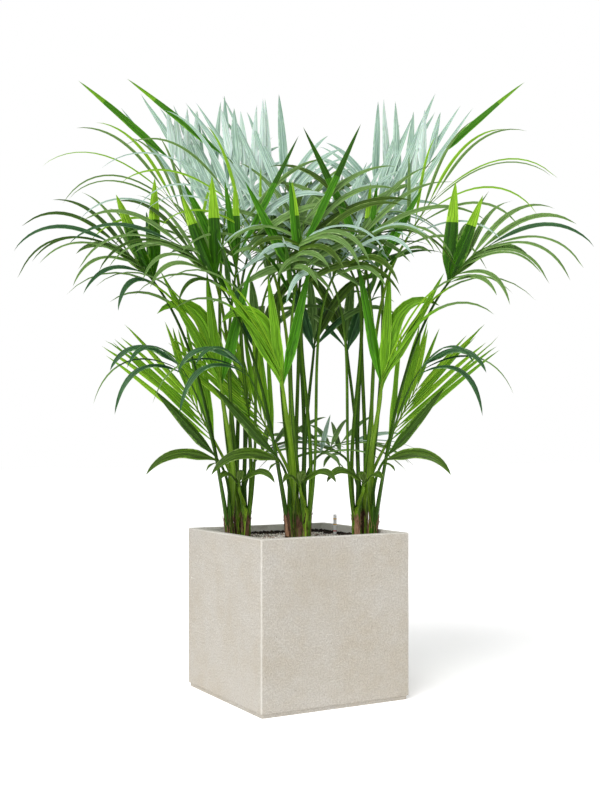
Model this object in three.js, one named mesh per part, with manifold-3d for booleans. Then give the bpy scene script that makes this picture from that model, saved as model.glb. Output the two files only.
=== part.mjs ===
// A potted kentia palm: three clumps of young palms in a square cast planter.
//
// Millimetres, +Z up. The origin is the middle of the planter's flat underside, and the planter's
// faces are square to X and Y. The three clumps stand in a row across the planter, turned by ROW_TURN.
// Each clump has three short stems. Every frond is a petiole that rises from a stem's flat top, runs on
// as a rib, and carries rows of leaflets, single blades or both. All clumps grow from one table of
// fronds, each with its own small variations, and the right-hand one is mirrored across the row.

import * as THREE from "three";
import { mergeVertices } from "three/addons/utils/BufferGeometryUtils.js";
import Module from "manifold-3d";

const wasm = await Module();
wasm.setup();

// ---------------------------------------------------------------- driving dimensions, in millimetres

const GAP = 0.3; // between solids that touch
const DEGREE = Math.PI / 180;

const POT = {
  side: 500,
  height: 500,
  wall: 22,
  floor: 30,
  corner: 5, // radius of the upright corners
  rim: 3, // chamfer of the rim's edges
  plinthHeight: 12,
  plinthInset: 5,
};
const SOIL_TOP = 466;
const GRAVEL = { top: 477, inset: 24, shoulder: 4, corner: 12 };
const GAUGE = { x: 125, y: 120, radius: 5.5, height: 63, rim: 1.5, sides: 12 };

const ROW_TURN = -29.5 * DEGREE; // the row of clumps, against the planter's X side
const CLUMPS = [
  { name: "left", x: -168, y: -12, mirror: 1, seed: 1 },
  { name: "centre", x: 16, y: -29, mirror: 1, seed: 2 },
  { name: "right", x: 204, y: 10, mirror: -1, seed: 3 },
];
const GROWTH = 0.975; // size of the clumps, against the sizes of stems and fronds below

const STEM = { baseRadius: 14.4, topRadius: 13.4, flare: 3, flareHeight: 20, waist: 0.6, sides: 10 };
const STEMS = {
  outer: { x: -33, y: -14, height: 60, leanX: -5, leanY: -2 },
  inner: { x: 16, y: -12, height: 72, leanX: 3, leanY: 0 },
  rear: { x: -7, y: 26, height: 94, leanX: -1, leanY: 3 },
};

const PETIOLE = {
  footRadius: 4.6,
  apexRadius: 3.8,
  tipRadius: 1.8, // of the rib's far end
  ring: 8.6, // from the middle of the stem's top to each foot
  lean: 0.16, // outwards at the foot
  rise: 0.4, // share of its reach over which it keeps the foot's direction
  arrive: 0.25, // share over which it takes the rib's direction
  sides: 4,
  steps: 6,
};

const PATH_STEPS = 12; // steps in which a drooping line is worked out
const DROOP = { start: 0.25, growth: 1.5 }; // share of the droop at a line's start, and its gain to the tip
const RIB_STRETCH = 4; // steps of a rib's path in each straight stretch of its solid

const LEAFLET = {
  first: 0.03, // share of the rib below the first pair
  span: 0.95, // share of the rib that carries leaflets
  stagger: 0.4, // pairs by which the right row is ahead of the left one
  root: 0.12, // width at the root, as a share of the full width
  widest: 0.3, // share of the length where it is widest
  hold: 2.6, // how long it keeps its width before it tapers
  taper: 0.9,
  lastWidth: 0.85, // of the last pair, against the others
  thickness: 0.011, // of its length
  rootThickness: 0.35, // of the full thickness, at the root
  sink: 2.4, // how far the root starts inside the rib
  outset: 0.8, // share of half the root's width by which the root stands out of the rib's middle
  roll: 18, // degrees by which a row's leaflets face up the rib, as slats do
  shortest: 30, // length under which a leaflet isn't made
  straightBelow: 0.7, // droop under which one station fewer is enough
};
const LEAFLET_STATIONS = { straight: [0, 4, 12], drooping: [0, 4, 8, 12] }; // of PATH_STEPS
const VARIATION = { splay: 4, lift: 5, length: 0.07, width: 0.1, droop: 0.2 }; // degrees, then shares
const BLADE_VARIATION = { aim: 2, length: 0.04, width: 0.06, droop: 0.06 }; // likewise, of single blades
const BLADE_SEEDS = 40; // from the pairs' numbers to those of a frond's single blades
const SEED_STEP = 31; // between the seeds of two clumps
const CLEARANCE = 0.35; // kept round each leaflet
const BEND = { rounds: 3, droop: 0.25, angle: 5, ways: 8 }; // how a leaflet is moved out of another's way

// Fronds of one clump, from its own foot: x along the row, y to the back, z above the gravel.
//   stem    the stem it stands on
//   apex    where the petiole becomes the rib
//   aim     [azimuth, elevation] of the rib there, in degrees: azimuth 0 is along x and 90 to the back
//   rib     its length, with sag for how far it droops and turn for its roll, in degrees
//   pairs   how many pairs of leaflets it carries, width the widest leaflet
//   splay   a leaflet's angle to the rib, at its foot and tip, with lift for how far the rows rise
//   left    the row on the rib's left: lengths at the rib's foot, middle and tip, and droop at foot and tip
//   right   the row on its right, likewise
//   blades  single blades: at is the share of the rib below each, and turn its roll as the rib has it
const NO_ROW = { lengths: [0, 0, 0], droop: [0, 0] };
const BARE = { pairs: 1, width: 20, splay: [0, 0], lift: 0, left: NO_ROW, right: NO_ROW };
const FRONDS = {
  tall: {
    stem: "rear", colour: "greyGreen",
    apex: [-64, 80, 930], aim: [65, 80], rib: 200, sag: 0.1, turn: 25,
    pairs: 6, width: 33, splay: [36, 24], lift: 4,
    left: { lengths: [590, 430, 220], droop: [0.15, 0.1] },
    right: { lengths: [340, 310, 240], droop: [1.3, 0.8] },
    blades: [{ at: 1, aim: [180, 87], turn: -90, length: 300, width: 32, droop: 0 }],
  },
  wing: {
    stem: "outer", colour: "darkGreen",
    apex: [-250, -140, 778], aim: [197, 52], rib: 170, sag: 0.6, turn: -45,
    pairs: 5, width: 24, splay: [46, 9], lift: 6,
    left: { lengths: [220, 330, 360], droop: [2, 1.8] },
    right: { lengths: [300, 330, 350], droop: [0.8, 1.7] },
    blades: [
      { at: 0, aim: [195, 66], turn: -80, length: 290, width: 54, droop: 0 },
      { at: 0.05, aim: [180, 88], turn: -90, length: 320, width: 50, droop: 0 },
      { at: 0.1, aim: [200, 52], turn: -50, length: 290, width: 46, droop: 1.9 },
    ],
  },
  strap: {
    stem: "outer", colour: "darkGreen",
    apex: [-58, -70, 232], aim: [190, 60], rib: 30, sag: 0, turn: -55, ...BARE,
    blades: [
      { at: 0.8, aim: [195, 49], turn: -75, length: 290, width: 42, droop: 0.05 },
      { at: 0.4, aim: [201, 26], turn: -60, length: 250, width: 44, droop: 1.7 },
      { at: 0, aim: [240, 20], turn: 0, length: 90, width: 20, droop: 1.6 },
    ],
  },
  ribbon: {
    stem: "outer", colour: "lightGreen",
    apex: [-52, -100, 440], aim: [235, 80], rib: 80, sag: 0, turn: 180, ...BARE,
    blades: [
      { at: 0.2, aim: [188, 84], turn: -70, length: 385, width: 74, droop: 3.4 },
      { at: 0.4, aim: [353, 78], turn: 80, length: 380, width: 40, droop: 0 },
      { at: 0.5, aim: [192, 83], turn: -85, length: 345, width: 38, droop: 0 },
      { at: 0.6, aim: [192, 61], turn: -75, length: 370, width: 34, droop: 0 },
      { at: 0.75, aim: [200, 66], turn: -40, length: 465, width: 26, droop: 2.2 },
      { at: 0.9, aim: [205, 69], turn: -40, length: 555, width: 17, droop: 2.4 },
      { at: 1, aim: [195, 66], turn: -40, length: 600, width: 17, droop: 2.5 },
    ],
  },
  bouquet: {
    stem: "inner", colour: "darkGreen",
    apex: [-22, -100, 730], aim: [30, 82], rib: 250, sag: 0.1, turn: 60,
    pairs: 4, width: 32, splay: [42, 28], lift: 6,
    left: NO_ROW,
    right: { lengths: [380, 400, 340], droop: [2, 1.2] },
    blades: [
      { at: 0, aim: [213, 68], turn: -40, length: 300, width: 40, droop: 2.4 },
      { at: 0.08, aim: [245, 76], turn: -40, length: 190, width: 44, droop: 1.6 },
      { at: 0.3, aim: [184, 60], turn: -70, length: 325, width: 40, droop: 0.05 },
      { at: 0.45, aim: [180, 83], turn: -90, length: 265, width: 30, droop: 0 },
      { at: 0.55, aim: [180, 87], turn: -90, length: 240, width: 28, droop: 0 },
      { at: 0.6, aim: [353, 64], turn: 75, length: 420, width: 31, droop: 0.05 },
    ],
  },
  arcs: {
    stem: "outer", colour: "lightGreen",
    apex: [-120, -30, 905], aim: [187, 60.5], rib: 200, sag: 0.3, turn: -60,
    pairs: 5, width: 15, splay: [40, 8], lift: 8,
    left: { lengths: [330, 415, 435], droop: [1.8, 1.75] },
    right: { lengths: [250, 330, 400], droop: [0.8, 1.6] },
  },
  plume: {
    stem: "rear", colour: "greyGreen",
    apex: [-93, 150, 1040], aim: [196, 51], rib: 225, sag: 0, turn: -90,
    pairs: 6, width: 34, splay: [42, 32], lift: 0,
    left: NO_ROW,
    right: { lengths: [390, 260, 170], droop: [0.05, 0.05] },
    blades: [{ at: 1, aim: [190, 40], turn: -75, length: 400, width: 30, droop: 0.1 }],
  },
  feather: {
    stem: "rear", colour: "lightGreen",
    apex: [-78, 29, 290], aim: [178, 62], rib: 210, sag: 0.05, turn: -75,
    pairs: 5, width: 24, splay: [22, 12], lift: 2,
    left: { lengths: [470, 380, 250], droop: [0.15, 0.1] },
    right: { lengths: [360, 300, 220], droop: [0.1, 0.05] },
  },
  hook: {
    stem: "outer", colour: "blueGreen",
    apex: [-148, -120, 485], aim: [206, 60], rib: 50, sag: 0.3, turn: -20, ...BARE,
    blades: [
      { at: 0.3, aim: [215, 33], turn: -20, length: 335, width: 32, droop: 3.4 },
      { at: 0.6, aim: [201, 33], turn: -20, length: 355, width: 16, droop: 2.5 },
      { at: 0.8, aim: [233, 45], turn: -20, length: 275, width: 30, droop: 2.3 },
      { at: 1, aim: [206, 47], turn: -25, length: 270, width: 44, droop: 2.6 },
    ],
  },
  sweep: {
    stem: "inner", colour: "darkGreen",
    apex: [92, -60, 795], aim: [350, 66], rib: 180, sag: 1.1, turn: 40,
    pairs: 6, width: 30, splay: [52, 9], lift: 6,
    left: { lengths: [250, 400, 400], droop: [0.5, 1.2] },
    right: { lengths: [260, 360, 350], droop: [2, 1.9] },
  },
  low: {
    stem: "inner", colour: "lightGreen",
    apex: [-2, -75, 160], aim: [92, 66], rib: 16, sag: 0, turn: 0, ...BARE,
    blades: [
      { at: 0.2, aim: [238, 55], turn: -40, length: 125, width: 36, droop: 2.2 },
      { at: 0.8, aim: [323, 48], turn: 40, length: 170, width: 38, droop: 2.3 },
      { at: 1, aim: [280, 62], turn: 0, length: 90, width: 28, droop: 2.4 },
    ],
  },
  side: {
    stem: "inner", colour: "blueGreen",
    apex: [42, 100, 598], aim: [75, 72], rib: 60, sag: 0.2, turn: 0, ...BARE,
    blades: [
      { at: 0, aim: [185, 74], turn: -80, length: 240, width: 50, droop: 0.4 },
      { at: 0.1, aim: [352, 56], turn: 45, length: 330, width: 38, droop: 1.9 },
      { at: 0.3, aim: [10, 72], turn: 60, length: 380, width: 42, droop: 2 },
      { at: 0.5, aim: [110, 80], turn: 0, length: 250, width: 40, droop: 1.4 },
      { at: 0.6, aim: [40, 62], turn: 30, length: 330, width: 38, droop: 1.9 },
      { at: 0.8, aim: [85, 55], turn: 0, length: 320, width: 38, droop: 1.8 },
      { at: 1, aim: [140, 60], turn: 0, length: 290, width: 36, droop: 1.8 },
    ],
  },
  under: {
    stem: "rear", colour: "greyGreen",
    apex: [58, 74, 258], aim: [24, 34], rib: 190, sag: 1, turn: 20,
    pairs: 4, width: 24, splay: [46, 12], lift: 4,
    left: { lengths: [220, 260, 200], droop: [0.4, 0.7] },
    right: { lengths: [200, 240, 190], droop: [0.8, 0.9] },
    blades: [{ at: 0, aim: [320, 28], turn: 0, length: 110, width: 30, droop: 2.8 }],
  },
  high: {
    stem: "inner", colour: "darkGreen",
    apex: [36, 10, 850], aim: [14, 62], rib: 280, sag: 1.2, turn: 40,
    pairs: 6, width: 30, splay: [54, 9], lift: 6,
    left: { lengths: [320, 330, 300], droop: [0.3, 0.7] },
    right: { lengths: [240, 320, 300], droop: [1.3, 1.2] },
  },
  back: {
    stem: "rear", colour: "darkGreen",
    apex: [2, 120, 850], aim: [70, 62], rib: 290, sag: 1.2, turn: 0,
    pairs: 7, width: 34, splay: [56, 10], lift: 8,
    left: { lengths: [380, 420, 300], droop: [0.9, 1] },
    right: { lengths: [380, 420, 300], droop: [1.2, 1] },
  },
};

// ---------------------------------------------------------------- small helpers

const vec = (x, y, z) => new THREE.Vector3(x, y, z);
const mix = (a, b, t) => a + (b - a) * t;

/** A repeatable number from -1 to 1. */
function wobble(seed, a, b) {
  const s = Math.sin(seed * 12.9898 + a * 78.233 + b * 37.719) * 43758.5453;
  return 2 * (s - Math.floor(s)) - 1;
}

/** The value at t from those at the foot, the middle and the tip of a rib. */
function along([foot, middle, tip], t) {
  return t < 0.5 ? mix(foot, middle, t * 2) : mix(middle, tip, t * 2 - 1);
}

/** A closed solid through rings of points, all of one count. A last ring of a single point is a tip. */
function loft(rings) {
  const positions = [];
  const index = [];
  const starts = rings.map((ring) => {
    const at = positions.length / 3;
    for (const p of ring) positions.push(p.x, p.y, p.z);
    return at;
  });
  const sides = rings[0].length;
  for (let r = 0; r + 1 < rings.length; r++)
    for (let i = 0; i < sides; i++) {
      const j = (i + 1) % sides;
      const [a, b] = [starts[r] + i, starts[r] + j];
      if (rings[r + 1].length === 1) index.push(a, b, starts[r + 1]);
      else {
        const [c, d] = [starts[r + 1] + i, starts[r + 1] + j];
        index.push(a, b, d, a, d, c);
      }
    }
  const last = rings.length - 1;
  for (let i = 1; i + 1 < sides; i++) {
    index.push(starts[0], starts[0] + i + 1, starts[0] + i);
    if (rings[last].length > 1) index.push(starts[last], starts[last] + i, starts[last] + i + 1);
  }
  const geometry = new THREE.BufferGeometry();
  geometry.setAttribute("position", new THREE.Float32BufferAttribute(positions, 3));
  geometry.setIndex(index);
  return geometry;
}

/** A manifold solid from a closed geometry. */
function solidOf(geometry) {
  const bare = geometry.clone();
  bare.deleteAttribute("normal");
  bare.deleteAttribute("uv");
  const merged = mergeVertices(bare, 1e-4);
  return new wasm.Manifold(
    new wasm.Mesh({
      numProp: 3,
      vertProperties: new Float32Array(merged.attributes.position.array),
      triVerts: new Uint32Array(merged.index.array),
    }),
  );
}

/** A geometry from a manifold solid. */
function geometryOf(solid) {
  const mesh = solid.getMesh();
  const geometry = new THREE.BufferGeometry();
  geometry.setAttribute("position", new THREE.BufferAttribute(new Float32Array(mesh.vertProperties), 3));
  geometry.setIndex(new THREE.BufferAttribute(new Uint32Array(mesh.triVerts), 1));
  return geometry;
}

/** A line of PATH_STEPS steps that leaves start along direction and droops, with its direction and facing. */
function droopingLine(start, direction, facing, length, droop) {
  const points = [start.clone()];
  const directions = [direction.clone()];
  const facings = [facing.clone()];
  const d = direction.clone();
  const m = facing.clone();
  for (let k = 1; k <= PATH_STEPS; k++) {
    const u = (k - 0.5) / PATH_STEPS;
    d.z -= (droop * (DROOP.start + DROOP.growth * u)) / PATH_STEPS;
    d.normalize();
    m.addScaledVector(d, -m.dot(d)).normalize();
    points.push(points[k - 1].clone().addScaledVector(d, length / PATH_STEPS));
    directions.push(d.clone());
    facings.push(m.clone());
  }
  return { points, directions, facings };
}

// ---------------------------------------------------------------- planter, soil, gravel and gauge

/** A ring of a square with rounded corners, at a height. */
function squareRing(half, radius, z, arcPoints = 3) {
  const ring = [];
  for (let quarter = 0; quarter < 4; quarter++)
    for (let i = 0; i <= arcPoints; i++) {
      const angle = (quarter + i / arcPoints) * 90 * DEGREE;
      const centre = half - radius;
      const signX = quarter === 0 || quarter === 3 ? 1 : -1;
      const signY = quarter < 2 ? 1 : -1;
      ring.push(vec(signX * centre + radius * Math.cos(angle), signY * centre + radius * Math.sin(angle), z));
    }
  return ring;
}

function potGeometry() {
  const half = POT.side / 2;
  const inner = half - POT.wall;
  const foot = half - POT.plinthInset;
  return loft([
    squareRing(foot, POT.corner, 0),
    squareRing(foot, POT.corner, POT.plinthHeight),
    squareRing(half, POT.corner, POT.plinthHeight + 1),
    squareRing(half, POT.corner, POT.height - POT.rim),
    squareRing(half - POT.rim, POT.corner, POT.height),
    squareRing(inner + POT.rim, POT.corner, POT.height),
    squareRing(inner, POT.corner, POT.height - POT.rim),
    squareRing(inner, POT.corner, POT.floor),
  ]);
}

function soilGeometry() {
  const half = POT.side / 2 - POT.wall - GAP;
  return loft([
    squareRing(half, POT.corner, POT.floor + GAP),
    squareRing(half, POT.corner, SOIL_TOP),
  ]);
}

function gravelGeometry() {
  const half = POT.side / 2 - GRAVEL.inset;
  return loft([
    squareRing(half, GRAVEL.corner, SOIL_TOP + GAP),
    squareRing(half, GRAVEL.corner, GRAVEL.top - GRAVEL.shoulder),
    squareRing(half - GRAVEL.shoulder, GRAVEL.corner, GRAVEL.top),
  ]);
}

function gaugeGeometry() {
  const profile = [
    [0, 0],
    [GAUGE.radius, 0],
    [GAUGE.radius, GAUGE.height - GAUGE.rim],
    [GAUGE.radius - GAUGE.rim, GAUGE.height],
    [0, GAUGE.height],
  ].map(([r, z]) => new THREE.Vector2(r, z));
  return new THREE.LatheGeometry(profile, GAUGE.sides).rotateX(90 * DEGREE);
}

// ---------------------------------------------------------------- stems

/** A short stem with its flare at the foot, leaning a little, and its flat top at the given height. */
function stemGeometry(stem) {
  const levels = [0, STEM.flareHeight / 2, STEM.flareHeight, stem.height * STEM.waist, stem.height];
  return loft(
    levels.map((z) => {
      const flare = STEM.flare * Math.max(0, 1 - z / STEM.flareHeight) ** 2;
      const radius = mix(STEM.baseRadius, STEM.topRadius, z / stem.height) + flare;
      const ring = [];
      for (let i = 0; i < STEM.sides; i++) {
        const angle = (i / STEM.sides) * 2 * Math.PI;
        ring.push(
          vec(
            stem.x + (stem.leanX * z) / stem.height + radius * Math.cos(angle),
            stem.y + (stem.leanY * z) / stem.height + radius * Math.sin(angle),
            GAP + z,
          ),
        );
      }
      return ring;
    }),
  );
}

// ---------------------------------------------------------------- fronds

/** The places on each stem's top where its petioles stand, in the order of the way they lean. */
function petioleFeet() {
  const feet = {};
  for (const [stemName, stem] of Object.entries(STEMS)) {
    const top = { x: stem.x + stem.leanX, y: stem.y + stem.leanY };
    const own = Object.entries(FRONDS)
      .filter(([, frond]) => frond.stem === stemName)
      .map(([name, frond]) => ({
        name,
        heading: Math.atan2(frond.apex[1] - top.y, frond.apex[0] - top.x),
      }))
      .sort((a, b) => a.heading - b.heading);
    const step = (2 * Math.PI) / own.length;
    const mean = own.reduce((sum, f, i) => sum + f.heading - i * step, 0) / own.length;
    own.forEach((f, i) => {
      const angle = mean + i * step;
      feet[f.name] = vec(
        top.x + PETIOLE.ring * Math.cos(angle),
        top.y + PETIOLE.ring * Math.sin(angle),
        stem.height + 2 * GAP,
      );
    });
  }
  return feet;
}

/** The rib's direction, right-hand side and upper side at the apex. */
function aimFrame(frond) {
  const [azimuth, elevation] = frond.aim.map((a) => a * DEGREE);
  const level = vec(Math.cos(azimuth), Math.sin(azimuth), 0);
  const forward = level.clone().multiplyScalar(Math.cos(elevation)).add(vec(0, 0, Math.sin(elevation)));
  const upper = level.clone().multiplyScalar(-Math.sin(elevation)).add(vec(0, 0, Math.cos(elevation)));
  upper.applyAxisAngle(forward, frond.turn * DEGREE);
  return { forward, upper };
}

/** Centre line of a frond: the petiole's curve, then the drooping rib. */
function frondLine(frond, foot) {
  const { forward, upper } = aimFrame(frond);
  const apex = vec(...frond.apex);
  const reach = foot.distanceTo(apex);
  const stem = STEMS[frond.stem];
  const outward = vec(foot.x - stem.x - stem.leanX, foot.y - stem.y - stem.leanY, 0).setLength(PETIOLE.lean);
  const curve = new THREE.CubicBezierCurve3(
    foot,
    foot.clone().addScaledVector(vec(0, 0, 1).add(outward).normalize(), reach * PETIOLE.rise),
    apex.clone().addScaledVector(forward, -reach * PETIOLE.arrive),
    apex,
  );
  return { curve, rib: droopingLine(apex, forward, upper, frond.rib, frond.sag) };
}

/** A tapering solid along a frond's centre line, from its flat foot to the rib's end. */
function ribGeometry({ curve, rib }) {
  const stations = [];
  for (let i = 0; i <= PETIOLE.steps; i++) {
    const t = i / PETIOLE.steps;
    stations.push({
      point: curve.getPoint(t),
      direction: i === 0 ? vec(0, 0, 1) : curve.getTangent(t),
      facing: rib.facings[0],
      radius: mix(PETIOLE.footRadius, PETIOLE.apexRadius, t),
    });
  }
  for (let k = RIB_STRETCH; k <= PATH_STEPS; k += RIB_STRETCH)
    stations.push({
      point: rib.points[k],
      direction: rib.directions[k],
      facing: rib.facings[k],
      radius: mix(PETIOLE.apexRadius, PETIOLE.tipRadius, k / PATH_STEPS),
    });
  return loft(
    stations.map(({ point, direction, facing, radius }) => {
      const upper = facing.clone().addScaledVector(direction, -facing.dot(direction)).normalize();
      const right = direction.clone().cross(upper);
      const ring = [];
      for (let i = 0; i < PETIOLE.sides; i++) {
        const angle = ((i + 0.5) / PETIOLE.sides) * 2 * Math.PI;
        ring.push(
          point
            .clone()
            .addScaledVector(right, radius * Math.cos(angle))
            .addScaledVector(upper, -radius * Math.sin(angle)),
        );
      }
      return ring;
    }),
  );
}

/** Share of the leaflet's full width at u, from its root at 0 to its tip at 1. */
function outline(u) {
  const swell = Math.min(1, u / LEAFLET.widest);
  const smooth = swell * swell * (3 - 2 * swell);
  return (LEAFLET.root + (1 - LEAFLET.root) * smooth) * (1 - u ** LEAFLET.hold) ** LEAFLET.taper;
}

/** The point of a rib's solid at a place along its path, which is on one of its straight stretches. */
function ribPoint(line, place) {
  const from = Math.min(PATH_STEPS - RIB_STRETCH, Math.floor(place / RIB_STRETCH) * RIB_STRETCH);
  return line.points[from].clone().lerp(line.points[from + RIB_STRETCH], (place - from) / RIB_STRETCH);
}

/** Where one leaflet starts, which way it goes and faces, and its sizes. side is -1 for left, 1 for right. */
function leafletSpec(frond, line, seed, pair, side) {
  const last = frond.pairs - 1;
  const ahead = side > 0 ? LEAFLET.stagger : 0;
  const t = (pair + ahead) / (last + LEAFLET.stagger);
  const place = (LEAFLET.first + LEAFLET.span * t) * PATH_STEPS;
  const k = Math.floor(place);
  const forward = line.directions[k + 1];
  const upper = line.facings[k + 1];
  const right = forward.clone().cross(upper);
  const jitter = (n) => wobble(seed, pair + 0.5 * side, n);
  const splay = (mix(...frond.splay, t) + VARIATION.splay * jitter(1)) * DEGREE;
  const lift = (frond.lift + VARIATION.lift * jitter(2)) * DEGREE;
  const direction = forward
    .clone()
    .multiplyScalar(Math.cos(splay))
    .addScaledVector(right, side * Math.sin(splay) * Math.cos(lift))
    .addScaledVector(upper, Math.sin(splay) * Math.sin(lift))
    .normalize();
  const facing = upper.clone().addScaledVector(right, -side * Math.tan(lift));
  facing.addScaledVector(direction, -facing.dot(direction)).normalize();
  facing.applyAxisAngle(direction, -side * LEAFLET.roll * DEGREE);
  const row = side < 0 ? frond.left : frond.right;
  const width = frond.width * (1 + VARIATION.width * jitter(4)) * (pair === last ? LEAFLET.lastWidth : 1);
  const outward = direction.clone().cross(facing).multiplyScalar(side);
  const outset = (LEAFLET.outset * width * outline(0)) / 2;
  return {
    root: ribPoint(line, place).addScaledVector(outward, outset),
    direction,
    facing,
    width,
    length: along(row.lengths, t) * (1 + VARIATION.length * jitter(3)),
    droop: mix(...row.droop, t) * (1 + VARIATION.droop * jitter(5)),
  };
}

/** The same for one of a frond's single blades. */
function bladeSpec(frond, line, seed, number) {
  const blade = frond.blades[number];
  const jitter = (n) => wobble(seed, BLADE_SEEDS + number, n);
  const [azimuth, elevation] = blade.aim;
  const aim = [azimuth + BLADE_VARIATION.aim * jitter(1), elevation + BLADE_VARIATION.aim * jitter(2)];
  const { forward, upper } = aimFrame({ aim, turn: blade.turn });
  return {
    root: ribPoint(line, blade.at * PATH_STEPS),
    direction: forward,
    facing: upper,
    width: blade.width * (1 + BLADE_VARIATION.width * jitter(4)),
    length: blade.length * (1 + BLADE_VARIATION.length * jitter(3)),
    droop: blade.droop * (1 + BLADE_VARIATION.droop * jitter(5)),
  };
}

/** One leaflet as a three-sided blade: two edges and a keel below. spare widens and thickens it all round. */
function leafletGeometry(spec, spare = 0) {
  const start = spec.root.clone().addScaledVector(spec.direction, -LEAFLET.sink);
  const line = droopingLine(start, spec.direction, spec.facing, spec.length, spec.droop);
  const shape = spec.droop < LEAFLET.straightBelow ? "straight" : "drooping";
  return loft(
    LEAFLET_STATIONS[shape].map((k) => {
      const point = line.points[k];
      if (k === PATH_STEPS) return [point];
      const keel = spec.length * LEAFLET.thickness * (k === 0 ? LEAFLET.rootThickness : 1);
      const across = line.directions[k].clone().cross(line.facings[k]);
      const half = (spec.width * outline(k / PATH_STEPS)) / 2 + spare;
      return [
        point.clone().addScaledVector(across, -half).addScaledVector(line.facings[k], spare),
        point.clone().addScaledVector(across, half).addScaledVector(line.facings[k], spare),
        point.clone().addScaledVector(line.facings[k], -keel - spare),
      ];
    }),
  );
}

// ---------------------------------------------------------------- room between the pieces

/** Everything placed so far, in the row's frame, so that a new leaflet can be kept clear of it. */
const placed = [];

function remember(name, solid) {
  placed.push({ name, solid, box: solid.boundingBox() });
}

function boxesMeet(a, b) {
  return [0, 1, 2].every((i) => a.max[i] >= b.min[i] && b.max[i] >= a.min[i]);
}

/** Whether a solid is clear of every placed piece but those in own. */
function isClear(solid, own) {
  const box = solid.boundingBox();
  return !placed.some(
    (other) =>
      !own.includes(other.name) && boxesMeet(box, other.box) && other.solid.intersect(solid).volume() > 0,
  );
}

/** Ways to bend a leaflet aside, in turn, each with what it adds to the droop, the swing and the tilt. */
function bends() {
  const ways = [{ droop: 0, swing: 0, tilt: 0 }];
  for (let round = 1; round <= BEND.rounds; round++) {
    for (const sign of [1, -1]) ways.push({ droop: sign * BEND.droop * round, swing: 0, tilt: 0 });
    for (let way = 0; way < BEND.ways; way++) {
      const angle = (way / BEND.ways) * 2 * Math.PI;
      const far = BEND.angle * DEGREE * round;
      ways.push({ droop: 0, swing: far * Math.sin(angle), tilt: far * Math.cos(angle) });
    }
  }
  return ways;
}

/** Adds a leaflet to its frond, bent aside where it would touch something, or left out if that fails. */
function addLeaflet(grown, spec, own) {
  if (spec.length < LEAFLET.shortest) return;
  const across = spec.direction.clone().cross(spec.facing);
  for (const { droop, swing, tilt } of bends()) {
    const direction = spec.direction
      .clone()
      .applyAxisAngle(spec.facing, swing)
      .applyAxisAngle(across, tilt);
    const facing = spec.facing.clone().addScaledVector(direction, -spec.facing.dot(direction)).normalize();
    const bent = { ...spec, direction, facing, droop: spec.droop + droop };
    if (!isClear(grown.inRow(solidOf(leafletGeometry(bent, CLEARANCE))), own)) continue;
    const leaflet = solidOf(leafletGeometry(bent));
    remember(`${grown.name}_leaflet`, grown.inRow(leaflet));
    grown.solids.push(leaflet);
    return;
  }
}

/** Adds a frond's single blades, which may meet each other at their roots. */
function addBlades(grown) {
  const own = [grown.name, `${grown.name}_leaflet`];
  (grown.frond.blades ?? []).forEach((blade, number) => {
    addLeaflet(grown, bladeSpec(grown.frond, grown.rib, grown.seed, number), own);
  });
}

/** Adds a frond's two rows of leaflets, each clear of all others. */
function addRows(grown) {
  for (let pair = 0; pair < grown.frond.pairs; pair++)
    for (const side of [-1, 1])
      addLeaflet(grown, leafletSpec(grown.frond, grown.rib, grown.seed, pair, side), [grown.name]);
}

// ---------------------------------------------------------------- assembly

const MATERIALS = {
  concrete: new THREE.MeshStandardMaterial({ color: 0xd3cbbc, roughness: 0.85, metalness: 0 }),
  soil: new THREE.MeshStandardMaterial({ color: 0x2a211b, roughness: 1, metalness: 0 }),
  gravel: new THREE.MeshStandardMaterial({ color: 0xcbbcb0, roughness: 0.9, metalness: 0 }),
  plastic: new THREE.MeshStandardMaterial({ color: 0xe6e6e6, roughness: 0.4, metalness: 0 }),
  stem: new THREE.MeshStandardMaterial({ color: 0x6b5138, roughness: 0.9, metalness: 0 }),
  darkGreen: new THREE.MeshStandardMaterial({ color: 0x2f6b22, roughness: 0.5, metalness: 0 }),
  lightGreen: new THREE.MeshStandardMaterial({ color: 0x6fa52c, roughness: 0.5, metalness: 0 }),
  greyGreen: new THREE.MeshStandardMaterial({ color: 0x86a795, roughness: 0.45, metalness: 0 }),
  blueGreen: new THREE.MeshStandardMaterial({ color: 0x3c6657, roughness: 0.5, metalness: 0 }),
};

function named(name, geometry, material) {
  const mesh = new THREE.Mesh(geometry, material);
  mesh.name = name;
  return mesh;
}

const root = new THREE.Group();
root.add(named("pot", potGeometry(), MATERIALS.concrete));
root.add(named("soil", soilGeometry(), MATERIALS.soil));
root.add(named("gravel", gravelGeometry(), MATERIALS.gravel));

const row = new THREE.Group();
row.rotation.z = ROW_TURN;
root.add(row);

const gauge = named("water_gauge", gaugeGeometry(), MATERIALS.plastic);
gauge.position.set(GAUGE.x, GAUGE.y, GRAVEL.top + GAP);
row.add(gauge);

const toRow = new THREE.Matrix4().makeRotationZ(-ROW_TURN);
remember("pot", solidOf(potGeometry().applyMatrix4(toRow)));
remember("gravel", solidOf(gravelGeometry().applyMatrix4(toRow)));
remember("water_gauge", solidOf(gaugeGeometry().translate(GAUGE.x, GAUGE.y, GRAVEL.top + GAP)));

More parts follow.
